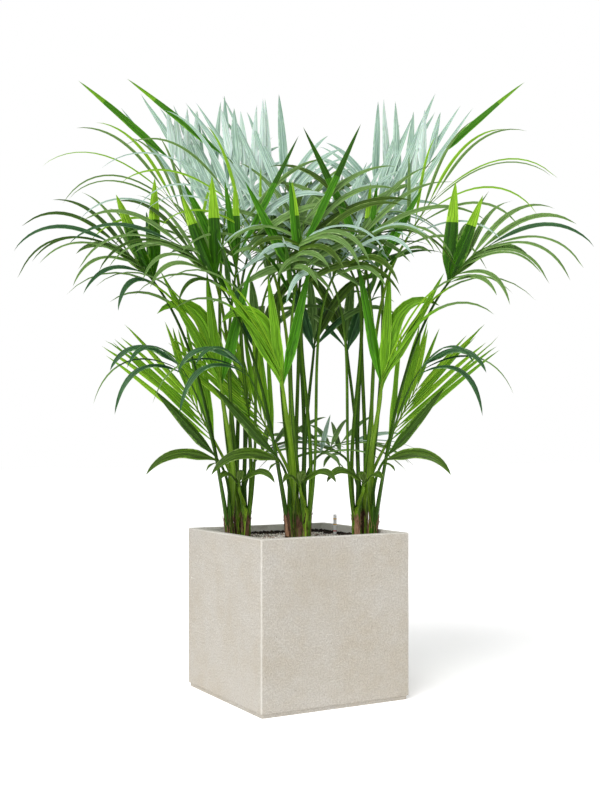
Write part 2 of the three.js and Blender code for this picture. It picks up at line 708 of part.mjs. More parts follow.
const feet = petioleFeet();
const growing = [];
for (const clump of CLUMPS) {
  const group = new THREE.Group();
  group.position.set(clump.x, clump.y, GRAVEL.top);
  group.scale.set(clump.mirror * GROWTH, GROWTH, GROWTH);
  group.updateMatrix();
  row.add(group);
  const inRow = (solid) => solid.transform(group.matrix.elements);
  for (const [stemName, stem] of Object.entries(STEMS)) {
    const name = `stem_${clump.name}_${stemName}`;
    group.add(named(name, stemGeometry(stem), MATERIALS.stem));
    remember(name, inRow(solidOf(stemGeometry(stem))));
  }
  Object.entries(FRONDS).forEach(([frondName, frond], order) => {
    const name = `frond_${clump.name}_${frondName}`;
    const line = frondLine(frond, feet[frondName]);
    const solid = solidOf(ribGeometry(line));
    remember(name, inRow(solid));
    const seed = clump.seed * SEED_STEP + order;
    growing.push({ name, frond, order, seed, rib: line.rib, group, inRow, solids: [solid] });
  });
}

growing.sort((a, b) => a.order - b.order);
growing.forEach(addBlades);
growing.forEach(addRows);
for (const grown of growing) {
  const whole = geometryOf(wasm.Manifold.union(grown.solids));
  grown.group.add(named(grown.name, whole, MATERIALS[grown.frond.colour]));
}

export default root;
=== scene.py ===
"""A potted kentia palm: fronds, stems, bed of pebbles, water gauge and cast planter, finished for rendering.

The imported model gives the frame. Size fields are in millimetres, and meshes are turned into metres when
they are made. The fronds grow by the rule of the part's source, carried to finer leaflets.
"""

import logging
import math
from dataclasses import dataclass, field
from enum import Enum, IntEnum
from typing import Callable, Iterable, Sequence, Union

import bpy
import numpy as np
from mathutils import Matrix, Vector


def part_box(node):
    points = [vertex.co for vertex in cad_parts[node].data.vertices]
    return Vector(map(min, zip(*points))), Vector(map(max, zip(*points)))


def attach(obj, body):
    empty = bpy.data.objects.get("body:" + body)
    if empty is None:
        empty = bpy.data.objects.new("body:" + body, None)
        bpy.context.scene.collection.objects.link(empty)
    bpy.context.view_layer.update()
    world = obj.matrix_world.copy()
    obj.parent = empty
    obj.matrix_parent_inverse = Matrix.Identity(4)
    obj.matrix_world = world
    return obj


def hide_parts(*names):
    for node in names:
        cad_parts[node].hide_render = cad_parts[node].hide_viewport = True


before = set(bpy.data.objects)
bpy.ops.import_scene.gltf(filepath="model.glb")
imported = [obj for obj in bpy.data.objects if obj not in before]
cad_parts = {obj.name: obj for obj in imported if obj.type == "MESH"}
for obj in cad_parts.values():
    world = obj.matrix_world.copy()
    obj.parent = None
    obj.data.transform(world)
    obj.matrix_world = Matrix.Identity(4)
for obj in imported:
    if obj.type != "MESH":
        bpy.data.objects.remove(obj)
log = logging.getLogger("kentia")

MM = 0.001
DEGREE = math.pi / 180
UP = np.array([0.0, 0.0, 1.0])
BODY = "root"

Point = np.ndarray
Source = Union[bpy.types.NodeSocket, float, Sequence[float]]


# ---------------------------------------------------------------- small helpers


def srgb(code: str) -> tuple[float, float, float, float]:
    """A display colour such as "#3f7a2a" as linear red, green, blue and alpha."""
    parts = [int(code[i : i + 2], 16) / 255 for i in (1, 3, 5)]
    linear = [c / 12.92 if c <= 0.04045 else ((c + 0.055) / 1.055) ** 2.4 for c in parts]
    return (*linear, 1.0)


def shaded(
    colour: Sequence[float], factor: float, more: Sequence[float] = (0.0, 0.0, 0.0)
) -> tuple[float, float, float, float]:
    """A linear colour multiplied by a factor, with more added to its red, green and blue."""
    return (*(min(1.0, c * factor + extra) for c, extra in zip(colour, more)), 1.0)


def mix(first: float, second: float, share: float) -> float:
    """The value between first and second at a share from 0 to 1."""
    return first + (second - first) * share


def unit(vector: Point) -> Point:
    """The vector at length 1."""
    return vector / np.linalg.norm(vector)


def square_to(vector: Point, direction: Point) -> Point:
    """The unit vector nearest to vector that is square to a unit direction."""
    return unit(vector - direction * float(vector @ direction))


def turned(vector: Point, axis: Point, angle: float) -> Point:
    """The vector turned about a unit axis by an angle in radians."""
    level = vector * math.cos(angle) + np.cross(axis, vector) * math.sin(angle)
    return level + axis * float(axis @ vector) * (1 - math.cos(angle))


def wobble(seed: float, first: float, second: float) -> float:
    """A repeatable number from -1 to 1, the same as in the part's source."""
    s = math.sin(seed * 12.9898 + first * 78.233 + second * 37.719) * 43758.5453
    return 2 * (s - math.floor(s)) - 1


def along(values: Sequence[float], share: float) -> float:
    """The value at a share of a rib, from those at its foot, middle and tip."""
    foot, middle, tip = values
    if share < 0.5:
        return mix(foot, middle, share * 2)
    return mix(middle, tip, share * 2 - 1)


def corners(node: str) -> tuple[Point, Point]:
    """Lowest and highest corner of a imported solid, in millimetres."""
    low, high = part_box(node)
    return np.array(low) / MM, np.array(high) / MM


# ---------------------------------------------------------------- meshes


class Sheaf:
    """Gathers many small bodies into one joined piece."""

    def __init__(self, name: str) -> None:
        """Starts an empty piece with the given name."""
        self.name = name
        self.points: list[np.ndarray] = []
        self.places: list[np.ndarray] = []
        self.faces: list[tuple[int, ...]] = []
        self.slots: list[int] = []
        self.count = 0

    def add(
        self,
        points: np.ndarray,
        faces: Sequence[Sequence[int]],
        slots: Union[int, Sequence[int]] = 0,
        places: Union[np.ndarray, None] = None,
        flip: bool = False,
    ) -> None:
        """Adds one body.

        Args:
            points: its points, in millimetres.
            faces: point numbers of each face, counted within the body.
            slots: the finish of all its faces, or one for each face.
            places: two numbers for each point, across and along the body.
            flip: whether its faces are turned over, as a mirrored body needs.
        """
        order = -1 if flip else 1
        self.faces.extend(tuple(i + self.count for i in face[::order]) for face in faces)
        self.slots.extend([slots] * len(faces) if isinstance(slots, int) else slots)
        self.points.append(np.asarray(points, float))
        self.places.append(np.zeros((len(points), 2)) if places is None else places)
        self.count += len(points)

    def triangles(self) -> int:
        """How many triangles the piece holds so far."""
        return sum(len(face) - 2 for face in self.faces)

    def piece(
        self,
        materials: Sequence[bpy.types.Material],
        slot: str,
        replaces: Iterable[str] = (),
        crease: float = 40,
    ) -> bpy.types.Object:
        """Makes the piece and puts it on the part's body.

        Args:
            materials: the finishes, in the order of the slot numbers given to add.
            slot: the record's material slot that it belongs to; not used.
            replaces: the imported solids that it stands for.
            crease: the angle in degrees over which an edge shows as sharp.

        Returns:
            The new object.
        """
        mesh = bpy.data.meshes.new(self.name)
        points = np.concatenate(self.points) * MM
        mesh.from_pydata(points.tolist(), [], self.faces)
        for material in materials:
            mesh.materials.append(material)
        mesh.polygons.foreach_set("material_index", self.slots)
        corner_points = np.empty(len(mesh.loops), int)
        mesh.loops.foreach_get("vertex_index", corner_points)
        layer = mesh.uv_layers.new(name="place")
        layer.data.foreach_set("uv", np.concatenate(self.places)[corner_points].ravel())
        mesh.shade_smooth()
        mesh.set_sharp_from_angle(angle=crease * DEGREE)
        made = bpy.data.objects.new(self.name, mesh)
        bpy.context.scene.collection.objects.link(made)
        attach(made, BODY)
        nodes = list(replaces)
        if nodes:
            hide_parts(*nodes)
        log.info("%s: %d triangles", self.name, self.triangles())
        return made


def loft_faces(rings: int, sides: int, closed: bool = True) -> list[tuple[int, ...]]:
    """Faces between rings of points that lie one after another.

    Args:
        rings: how many rings there are.
        sides: how many points each ring has.
        closed: whether the last point of a ring joins its first.

    Returns:
        Four-sided faces, which face outwards where the rings turn left about their direction.
    """
    faces = []
    for ring in range(rings - 1):
        for side in range(sides if closed else sides - 1):
            a = ring * sides + side
            b = ring * sides + (side + 1) % sides
            faces.append((a, b, b + sides, a + sides))
    return faces


def capped_faces(rings: int, sides: int) -> list[tuple[int, ...]]:
    """Faces of a closed body through rings of points: those between the rings, its foot and its top."""
    last = (rings - 1) * sides
    return loft_faces(rings, sides) + [tuple(range(sides))[::-1], tuple(last + i for i in range(sides))]


def square_ring(half: float, radius: float, height: float, straight: int, arc: int) -> np.ndarray:
    """Points of a square with rounded corners.

    Args:
        half: half its side.
        radius: of its corners.
        height: of the ring.
        straight: how many steps each straight side has.
        arc: how many steps each corner has.

    Returns:
        The points, in a turn to the left seen from above.
    """
    ring = []
    centre = half - radius
    for quarter in range(4):
        sign_x = 1 if quarter in (0, 3) else -1
        sign_y = 1 if quarter < 2 else -1
        for step in range(arc + 1):
            angle = (quarter + step / arc) * math.pi / 2
            x = sign_x * centre + radius * math.cos(angle)
            y = sign_y * centre + radius * math.sin(angle)
            ring.append((x, y, height))
        angle = (quarter + 1) * math.pi / 2
        side = np.array([math.cos(angle + math.pi / 2), math.sin(angle + math.pi / 2)])
        last = np.array(ring[-1][:2])
        for step in range(1, straight):
            x, y = last + side * (2 * centre * step / straight)
            ring.append((x, y, height))
    return np.array(ring)


# ---------------------------------------------------------------- nodes and shared effects


class NodeSheet:
    """A node tree with short calls that add and join its nodes."""

    def __init__(self, tree: bpy.types.NodeTree) -> None:
        """Takes the tree that the nodes go into."""
        self.tree = tree

    def feed(self, socket: bpy.types.NodeSocket, source: Source) -> None:
        """Joins a source to a socket, or sets the socket's own value."""
        if isinstance(source, bpy.types.NodeSocket):
            self.tree.links.new(source, socket)
        else:
            socket.default_value = source

    def node(
        self, kind: str, inputs: Union[dict[str, Source], None] = None, **settings: object
    ) -> bpy.types.Node:
        """Adds a node.

        Args:
            kind: its Blender type.
            inputs: sources for its sockets, by name.
            settings: its other properties.

        Returns:
            The new node.
        """
        made = self.tree.nodes.new(kind)
        for name, value in settings.items():
            setattr(made, name, value)
        for name, source in (inputs or {}).items():
            self.feed(made.inputs[name], source)
        return made

    def math(self, operation: str, first: Source, second: Source = 0.0) -> bpy.types.NodeSocket:
        """The result of a sum on one or two values."""
        made = self.tree.nodes.new("ShaderNodeMath")
        made.operation = operation
        self.feed(made.inputs[0], first)
        self.feed(made.inputs[1], second)
        return made.outputs[0]

    def span(self, value: Source, low: Source, high: Source) -> bpy.types.NodeSocket:
        """A value carried smoothly and clamped from the range low to high to that from 0 to 1."""
        made = self.node("ShaderNodeMapRange", interpolation_type="SMOOTHSTEP")
        for socket, source in zip(made.inputs, (value, low, high)):
            self.feed(socket, source)
        return made.outputs[0]

    def blend(self, share: Source, first: Source, second: Source) -> bpy.types.NodeSocket:
        """The colour between two colours."""
        made = self.node("ShaderNodeMix", data_type="RGBA")
        self.feed(made.inputs[0], share)
        self.feed(made.inputs[6], first)
        self.feed(made.inputs[7], second)
        return made.outputs[2]

    def cover(self, base: Source, mask: Source, share: float, colour: Source) -> bpy.types.NodeSocket:
        """The base colour, covered with another one by a share of the mask."""
        return self.blend(self.math("MULTIPLY", mask, share), base, colour)


class Effects:
    """The node groups that several finishes share, each built once."""

    def __init__(self) -> None:
        """Builds every group."""
        flat, raised = ("Mask",), ("Mask", "Height")
        veined = ("Mask", "Streak", "Edge", "Height", "Rib")
        self.mottle = self._group("mottle", {"Scale": 4.0, "Low": 0.35, "High": 0.65}, flat, self._mottle)
        self.grain = self._group("grain", {"Scale": 600.0, "Depth": 1.0}, raised, self._grain)
        self.pits = self._group("pits", {"Scale": 90.0, "Size": 0.2, "Share": 0.3}, raised, self._pits)
        self.veins = self._group("veins", {"Count": 7.0, "Wander": 0.03}, veined, self._veins)
        self.strands = self._group("strands", {"Across": 400.0, "Along": 20.0}, raised, self._strands)

    @staticmethod
    def _group(
        name: str,
        inputs: dict[str, float],
        outputs: Sequence[str],
        fill: Callable[[NodeSheet, bpy.types.Node, bpy.types.Node], None],
    ) -> bpy.types.NodeTree:
        """Makes a group with named sockets and lets fill put its nodes in.

        Args:
            name: of the group.
            inputs: its value sockets, with their first values.
            outputs: its value outputs.
            fill: puts in the nodes, given the sheet and the group's input and output nodes.

        Returns:
            The finished node tree.
        """
        tree = bpy.data.node_groups.new(name, "ShaderNodeTree")
        for socket, value in inputs.items():
            made = tree.interface.new_socket(socket, in_out="INPUT", socket_type="NodeSocketFloat")
            made.default_value = value
        for socket in outputs:
            tree.interface.new_socket(socket, in_out="OUTPUT", socket_type="NodeSocketFloat")
        sheet = NodeSheet(tree)
        fill(sheet, sheet.node("NodeGroupInput"), sheet.node("NodeGroupOutput"))
        return tree

    @staticmethod
    def _mottle(sheet: NodeSheet, given: bpy.types.Node, result: bpy.types.Node) -> None:
        """Soft clouds."""
        place = sheet.node("ShaderNodeTexCoord").outputs["Object"]
        scale = given.outputs["Scale"]
        noise = sheet.node("ShaderNodeTexNoise", {"Vector": place, "Scale": scale, "Detail": 3.0})
        mask = sheet.span(noise.outputs[0], given.outputs["Low"], given.outputs["High"])
        sheet.feed(result.inputs["Mask"], mask)

    @staticmethod
    def _grain(sheet: NodeSheet, given: bpy.types.Node, result: bpy.types.Node) -> None:
        """Fine sandy grain."""
        place = sheet.node("ShaderNodeTexCoord").outputs["Object"]
        noise = sheet.node(
            "ShaderNodeTexNoise",
            {"Vector": place, "Scale": given.outputs["Scale"], "Detail": 2.0, "Roughness": 0.6},
        )
        sheet.feed(result.inputs["Mask"], sheet.span(noise.outputs[0], 0.42, 0.62))
        sheet.feed(result.inputs["Height"], sheet.math("MULTIPLY", noise.outputs[0], given.outputs["Depth"]))

    @staticmethod
    def _pits(sheet: NodeSheet, given: bpy.types.Node, result: bpy.types.Node) -> None:
        """Small round pits, dealt to some of the cells."""
        place = sheet.node("ShaderNodeTexCoord").outputs["Object"]
        cells = sheet.node("ShaderNodeTexVoronoi", {"Vector": place, "Scale": given.outputs["Scale"]})
        chosen = sheet.node("ShaderNodeSeparateColor", {"Color": cells.outputs["Color"]})
        kept = sheet.math("LESS_THAN", chosen.outputs[0], given.outputs["Share"])
        size = sheet.math("MULTIPLY", given.outputs["Size"], sheet.math("ADD", chosen.outputs[1], 0.4))
        inside = sheet.math("SUBTRACT", 1.0, sheet.math("DIVIDE", cells.outputs["Distance"], size))
        mask = sheet.math("MULTIPLY", sheet.span(inside, 0.0, 0.6), kept)
        sheet.feed(result.inputs["Mask"], mask)
        sheet.feed(result.inputs["Height"], sheet.math("MULTIPLY", mask, -1.0))

    @staticmethod
    def _veins(sheet: NodeSheet, given: bpy.types.Node, result: bpy.types.Node) -> None:
        """Veins that run along a blade, with its raised middle rib."""
        place = sheet.node("ShaderNodeUVMap", uv_map="place").outputs[0]
        parts = sheet.node("ShaderNodeSeparateXYZ", {"Vector": place})
        object_place = sheet.node("ShaderNodeTexCoord").outputs["Object"]
        noise = sheet.node("ShaderNodeTexNoise", {"Vector": object_place, "Scale": 14.0, "Detail": 1.0})
        drift = sheet.math("MULTIPLY", sheet.math("SUBTRACT", noise.outputs[0], 0.5), given.outputs["Wander"])
        centred = sheet.math("SUBTRACT", parts.outputs[0], 0.5)
        sheet.feed(result.inputs["Edge"], sheet.span(sheet.math("ABSOLUTE", centred), 0.43, 0.49))
        across = sheet.math("ADD", centred, drift)
        turns = sheet.math("MULTIPLY", sheet.math("MULTIPLY", across, given.outputs["Count"]), 2 * math.pi)
        wave = sheet.math("ADD", sheet.math("MULTIPLY", sheet.math("COSINE", turns), 0.5), 0.5)
        line = sheet.math("POWER", wave, 3.0)
        rib = sheet.span(sheet.math("ABSOLUTE", across), 0.05, 0.0)
        drawn = sheet.node("ShaderNodeCombineXYZ")
        dense = sheet.math("MULTIPLY", given.outputs["Count"], 1.3)
        sheet.feed(drawn.inputs["X"], sheet.math("MULTIPLY", across, dense))
        sheet.feed(drawn.inputs["Y"], parts.outputs[1])
        sheet.feed(drawn.inputs["Z"], sheet.math("MULTIPLY", noise.outputs[0], 2.5))
        streaks = sheet.node("ShaderNodeTexNoise", {"Vector": drawn.outputs[0], "Scale": 1.6, "Detail": 1.0})
        sheet.feed(result.inputs["Streak"], sheet.span(streaks.outputs[0], 0.28, 0.68))
        sheet.feed(result.inputs["Mask"], line)
        sheet.feed(result.inputs["Rib"], rib)
        sheet.feed(result.inputs["Height"], sheet.math("ADD", sheet.math("MULTIPLY", line, 0.4), rib))

    @staticmethod
    def _strands(sheet: NodeSheet, given: bpy.types.Node, result: bpy.types.Node) -> None:
        """Upright fibres: noise drawn out along the height."""
        place = sheet.node("ShaderNodeTexCoord").outputs["Object"]
        stretch = sheet.node("ShaderNodeCombineXYZ")
        for axis, name in zip(("X", "Y", "Z"), ("Across", "Across", "Along")):
            sheet.feed(stretch.inputs[axis], given.outputs[name])
        drawn = sheet.node("ShaderNodeVectorMath", operation="MULTIPLY")
        sheet.feed(drawn.inputs[0], place)
        sheet.feed(drawn.inputs[1], stretch.outputs[0])
        noise = sheet.node("ShaderNodeTexNoise", {"Vector": drawn.outputs[0], "Scale": 1.0, "Detail": 3.0})
        sheet.feed(result.inputs["Mask"], sheet.span(noise.outputs[0], 0.4, 0.6))
        sheet.feed(result.inputs["Height"], noise.outputs[0])


class Finish:
    """What every finish shares: a new material with its main shader."""

    @staticmethod
    def start(name: str, **constants: Source) -> tuple[bpy.types.Material, NodeSheet, bpy.types.Node]:
        """Starts a material.

        Args:
            name: of the material.
            constants: values that are the same all over, by socket name with _ for a space.

        Returns:
            The material, its node sheet and its Principled shader.
        """
        material = bpy.data.materials.new(name)
        material.use_nodes = True
        shader = material.node_tree.nodes["Principled BSDF"]
        for key, value in constants.items():
            shader.inputs[key.replace("_", " ")].default_value = value
        return material, NodeSheet(material.node_tree), shader

    @staticmethod
    def place_group(sheet: NodeSheet, group: bpy.types.NodeTree, **values: float) -> bpy.types.Node:
        """Places a shared group in a material, with its own values."""
        return sheet.node("ShaderNodeGroup", dict(values), node_tree=group)

    @staticmethod
    def roughen(sheet: NodeSheet, shader: bpy.types.Node, mask: Source, base: float, more: float) -> None:
        """Gives the shader a roughness that rises from base by more where the mask is full."""
        rough = sheet.math("MULTIPLY_ADD", mask, more)
        rough.node.inputs[2].default_value = base
        sheet.feed(shader.inputs["Roughness"], rough)

    @staticmethod
    def bump(
        sheet: NodeSheet, shader: bpy.types.Node, height: Source, distance: float, strength: float = 1.0
    ) -> None:
        """Joins a height to the shader's normal through a Bump node."""
        made = sheet.node("ShaderNodeBump", {"Height": height, "Distance": distance, "Strength": strength})
        sheet.feed(shader.inputs["Normal"], made.outputs[0])


@dataclass(frozen=True)
class BladeFinish(Finish):
    """One face of a leaflet's blade.

    A share is how far a layer covers those below it, and cream is what the margin adds to the green.
    """

    name: str
    colour: str
    vein: str
    roughness: float = 0.42
    veins: float = 6
    glow: float = 0.12
    relief: float = 0.5
    vein_share: float = 0.5
    cloud_share: float = 0.3
    rib_highlight_share: float = 0.6
    margin_share: float = 0.6
    cream: tuple[float, float, float] = (0.1, 0.1, 0.04)

    def material(self, effects: Effects) -> bpy.types.Material:
        """Builds the finish: veins along the blade over a softly clouded green, with a painted highlight on
        the midrib.
        """
        material, sheet, shader = self.start(
            self.name,
            Subsurface_Weight=self.glow,
            Subsurface_Radius=(0.6, 1.0, 0.25),
            Subsurface_Scale=1.0 * MM,
            Specular_IOR_Level=0.17,
        )
        veins = self.place_group(sheet, effects.veins, Count=self.veins, Wander=0.05)
        cloud = self.place_group(sheet, effects.mottle, Scale=9, Low=0.3, High=0.7)
        green, dark = srgb(self.colour), srgb(self.vein)
        pale, deep = shaded(green, 1.35), shaded(dark, 0.65)
        rib, margin = shaded(green, 1.6, (0.01, 0.01, 0.01)), shaded(green, 1.5, self.cream)
        base = sheet.blend(veins.outputs["Streak"], dark, pale)
        base = sheet.cover(base, veins.outputs["Mask"], self.vein_share, deep)
        base = sheet.cover(base, cloud.outputs["Mask"], self.cloud_share, dark)
        # A lighter colour along the midrib: painted highlight.
        base = sheet.cover(base, veins.outputs["Rib"], self.rib_highlight_share, rib)
        base = sheet.cover(base, veins.outputs["Edge"], self.margin_share, margin)
        sheet.feed(shader.inputs["Base Color"], base)
        self.roughen(sheet, shader, cloud.outputs["Mask"], self.roughness, 0.12)
        self.bump(sheet, shader, veins.outputs["Height"], self.relief * MM)
        return material


@dataclass(frozen=True)
class StalkFinish(Finish):
    """A petiole or rib: smooth green with lighter lines along it, partly real striping and partly painted
    highlight.
    """

    name: str
    colour: str
    line: str
    roughness: float = 0.4

    def material(self, effects: Effects) -> bpy.types.Material:
        """Builds the finish: lines along the stalk and soft clouds."""
        material, sheet, shader = self.start(self.name, Specular_IOR_Level=0.2)
        lines = self.place_group(sheet, effects.veins, Count=5, Wander=0.12)
        cloud = self.place_group(sheet, effects.mottle, Scale=14, Low=0.35, High=0.65)
        green = srgb(self.colour)
        # The lighter lines are partly real striping and partly painted highlight.
        base = sheet.blend(lines.outputs["Mask"], green, srgb(self.line))
        base = sheet.cover(base, cloud.outputs["Mask"], 0.5, shaded(green, 0.6))
        sheet.feed(shader.inputs["Base Color"], base)
        self.roughen(sheet, shader, cloud.outputs["Mask"], self.roughness, 0.15)
        self.bump(sheet, shader, lines.outputs["Height"], 0.3 * MM)
        return material


@dataclass(frozen=True)
class FibreFinish(Finish):
    """Dry leaf base, fibre or papery flake."""

    name: str
    colour: str
    dark: str
    roughness: float = 0.85

    def material(self, effects: Effects) -> bpy.types.Material:
        """Builds the finish: strands along the height in two browns."""
        material, sheet, shader = self.start(self.name, Specular_IOR_Level=0.25)
        strands = self.place_group(sheet, effects.strands, Across=900, Along=40)
        cloud = self.place_group(sheet, effects.mottle, Scale=40, Low=0.35, High=0.65)
        base = sheet.blend(strands.outputs["Mask"], srgb(self.dark), srgb(self.colour))
        base = sheet.cover(base, cloud.outputs["Mask"], 0.5, srgb(self.dark))
        sheet.feed(shader.inputs["Base Color"], base)
        self.roughen(sheet, shader, cloud.outputs["Mask"], self.roughness, 0.1)
        self.bump(sheet, shader, strands.outputs["Height"], 0.8 * MM)
        return material


@dataclass(frozen=True)
class CastFinish(Finish):
    """Fine cast concrete: clouds, sandy grain, speckle, and small pits and coarse hollows darkened as painted
    shade.
    """

    name: str = "cast_concrete"
    colour: str = "#cdc8bf"
    warm: str = "#c6beb0"
    cool: str = "#d1cfca"
    speck_and_hollow_shade: str = "#9c9284"
    grain: float = 1.0
    roughness: float = 0.85

    def material(self, effects: Effects) -> bpy.types.Material:
        """Builds the finish."""
        material, sheet, shader = self.start(self.name, Specular_IOR_Level=0.2)
        broad = self.place_group(sheet, effects.mottle, Scale=5, Low=0.3, High=0.7)
        cloud = self.place_group(sheet, effects.mottle, Scale=24, Low=0.35, High=0.7)
        sand = self.place_group(sheet, effects.grain, Scale=420, Depth=self.grain)
        coarse = self.place_group(sheet, effects.grain, Scale=200, Depth=self.grain)
        pits = self.place_group(sheet, effects.pits, Scale=85, Size=0.2, Share=0.1)
        base = sheet.blend(broad.outputs["Mask"], srgb(self.colour), srgb(self.warm))
        base = sheet.cover(base, cloud.outputs["Mask"], 0.3, srgb(self.cool))
        # The speck colour over the sand grain is real speckle; over the coarse hollows and the pits it is
        # painted shade in the recesses.
        for marks, share in ((sand, 0.22), (coarse, 0.28), (pits, 0.45)):
            base = sheet.cover(base, marks.outputs["Mask"], share * self.grain, srgb(self.speck_and_hollow_shade))
        sheet.feed(shader.inputs["Base Color"], base)
        self.roughen(sheet, shader, sand.outputs["Mask"], self.roughness, 0.1)
        height = sheet.math("SUBTRACT", sand.outputs["Height"], coarse.outputs["Mask"])
        height = sheet.math("ADD", height, pits.outputs["Height"])
        self.bump(sheet, shader, height, 1.3 * MM, 0.9)
        return material


@dataclass(frozen=True)
class EarthFinish(Finish):
    """Potting mix or a pebble: one clouded, grainy colour."""

    name: str
    colour: str
    dark: str
    roughness: float = 0.9
    scale: float = 160

    def material(self, effects: Effects) -> bpy.types.Material:
        """Builds the finish."""
        material, sheet, shader = self.start(self.name, Specular_IOR_Level=0.3)
        cloud = self.place_group(sheet, effects.mottle, Scale=self.scale, Low=0.4, High=0.65)
        sand = self.place_group(sheet, effects.grain, Scale=1800, Depth=1.0)
        base = sheet.blend(cloud.outputs["Mask"], srgb(self.colour), srgb(self.dark))
        sheet.feed(shader.inputs["Base Color"], base)
        self.roughen(sheet, shader, sand.outputs["Mask"], self.roughness, 0.1)
        self.bump(sheet, shader, sand.outputs["Height"], 0.3 * MM)
        return material


@dataclass(frozen=True)
class PlasticFinish(Finish):
    """Moulded plastic of the water gauge."""

    name: str
    colour: str
    roughness: float = 0.35

    def material(self, effects: Effects) -> bpy.types.Material:
        """Builds the finish: faint clouds and a fine moulded grain."""
        material, sheet, shader = self.start(self.name)
        cloud = self.place_group(sheet, effects.mottle, Scale=60, Low=0.4, High=0.6)
        sand = self.place_group(sheet, effects.grain, Scale=2500, Depth=1.0)
        plain = srgb(self.colour)
        base = sheet.blend(cloud.outputs["Mask"], plain, shaded(plain, 0.92))
        sheet.feed(shader.inputs["Base Color"], base)
        self.roughen(sheet, shader, cloud.outputs["Mask"], self.roughness, 0.08)
        self.bump(sheet, shader, sand.outputs["Height"], 0.03 * MM)
        return material


# ---------------------------------------------------------------- the planter


class CastSlot(IntEnum):
    """The planter's finishes, by slot number."""

    OUTSIDE = 0
    # Paler edge finish: a painted highlight on the rim and the outer upright corners.
    EDGE = 1
    # Near-white inside finish: painted light that lifts the shade on the inner walls.
    INSIDE = 2


@dataclass
class Planter:
    """The square cast planter, with softened edges and a recess at its foot.

    sway is how far its faces are from true, and wave how long the unevenness is.
    """

    wall: float = 22
    floor: float = 30
    corner: float = 5
    rim: float = 3
    plinth_height: float = 12
    plinth_inset: float = 5
    straight: int = 28
    arc: int = 6
    rim_steps: int = 4
    step: float = 16
    inner_depth: float = 60
    sway: float = 0.7
    wave: float = 90

    def build(self, effects: Effects) -> bpy.types.Object:
        """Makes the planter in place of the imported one.

        Args:
            effects: the shared node groups.

        Returns:
            The planter's object.
        """
        _, high = corners("pot")
        half, top = high[0], high[2]
        rings: list[np.ndarray] = []
        finishes: list[CastSlot] = []
        for inset, height, finish in self._profile(top):
            rings.append(self._ring(half - inset, height, finish))
            finishes.append(finish)
        sides = len(rings[0])
        faces = capped_faces(len(rings), sides)
        slots = [finishes[i // sides] for i in range(len(faces) - 2)]
        slots += [CastSlot.OUTSIDE, CastSlot.INSIDE]
        points = np.concatenate(rings)
        slots = self._painted_highlight_slots(points, faces, slots, half)
        sheaf = Sheaf("planter")
        sheaf.add(points, faces, slots)
        finishes_used = (
            CastFinish(),
            # Paler edge finish: a painted highlight on the rim and the outer upright corners.
            CastFinish("cast_edge_painted_highlight", "#d8d4cc", "#d2cdc3", "#dcd9d3", "#b5aea1", 0.4, 0.8),
            # Near-white inside finish: painted light that lifts the shade on the inner walls.
            CastFinish("cast_inside_painted_light", "#f4f1ea", "#eeeae1", "#f6f4ef", "#cdc6b8", 0.4, 0.85),
        )
        return sheaf.piece([f.material(effects) for f in finishes_used], "concrete", ["pot"], crease=50)

    def _profile(self, top: float) -> list[tuple[float, float, CastSlot]]:
        """Inset, height and finish of each ring, from the foot up the outside and down the inside."""
        outside, edge, inside = CastSlot
        recess, foot = self.plinth_inset, self.plinth_height
        rows = [(recess + 1, 0.0, outside), (recess, 1.0, outside), (recess, foot - 1, outside)]
        rows += [(1.5, foot, outside), (0.3, foot + 0.8, outside), (0.0, foot + 2.5, outside)]
        first, last = foot + 2.5, top - self.rim
        steps = round((last - first) / self.step)
        rows += [(0.0, mix(first, last, i / steps), outside) for i in range(1, steps)]
        # The rim's rounded lip takes the paler edge finish, a painted highlight.
        for i in range(self.rim_steps + 1):
            angle = i / self.rim_steps * math.pi / 2
            inset = self.rim * (1 - math.cos(angle))
            rows.append((inset, last + self.rim * math.sin(angle), edge))
        for i in range(self.rim_steps + 1):
            angle = i / self.rim_steps * math.pi / 2
            inset = self.wall - self.rim * (1 - math.sin(angle))
            rows.append((inset, last + self.rim * math.cos(angle), edge if i < self.rim_steps else inside))
        rows += [(self.wall, mix(last, top - self.inner_depth, i / 4), inside) for i in range(1, 5)]
        rows.append((self.wall, self.floor, inside))
        return rows

    def _ring(self, half: float, height: float, finish: CastSlot) -> np.ndarray:
        """One ring of the planter, with the slight unevenness of a casting."""
        ring = square_ring(half, self.corner, height, self.straight, self.arc)
        for point in ring:
            x, y = point[:2] / self.wave
            swell = math.sin(x * 1.7 + height / 83) * math.cos(y * 1.9 - height / 61)
            if finish is not CastSlot.INSIDE and height > self.plinth_height:
                point[:2] *= 1 - self.sway * (0.5 + 0.5 * swell) / half
            if finish is CastSlot.EDGE:
                point[2] -= self.sway * 0.5 * (1 + math.sin(x * 2.3 + 1) * math.sin(y * 2.1))
        return ring

    def _painted_highlight_slots(
        self, points: np.ndarray, faces: list[tuple[int, ...]], slots: list[CastSlot], half: float
    ) -> list[CastSlot]:
        """Gives the paler edge finish, a painted highlight, to the faces of the outer upright corners."""
        centre = half - self.corner
        result = []
        for face, slot in zip(faces, slots):
            middle = np.abs(points[list(face)].mean(0)[:2])
            on_corner = len(face) == 4 and middle.min() > centre + 0.5
            result.append(CastSlot.EDGE if slot is CastSlot.OUTSIDE and on_corner else slot)
        return result


# ---------------------------------------------------------------- the bed: soil, pebbles, gauge


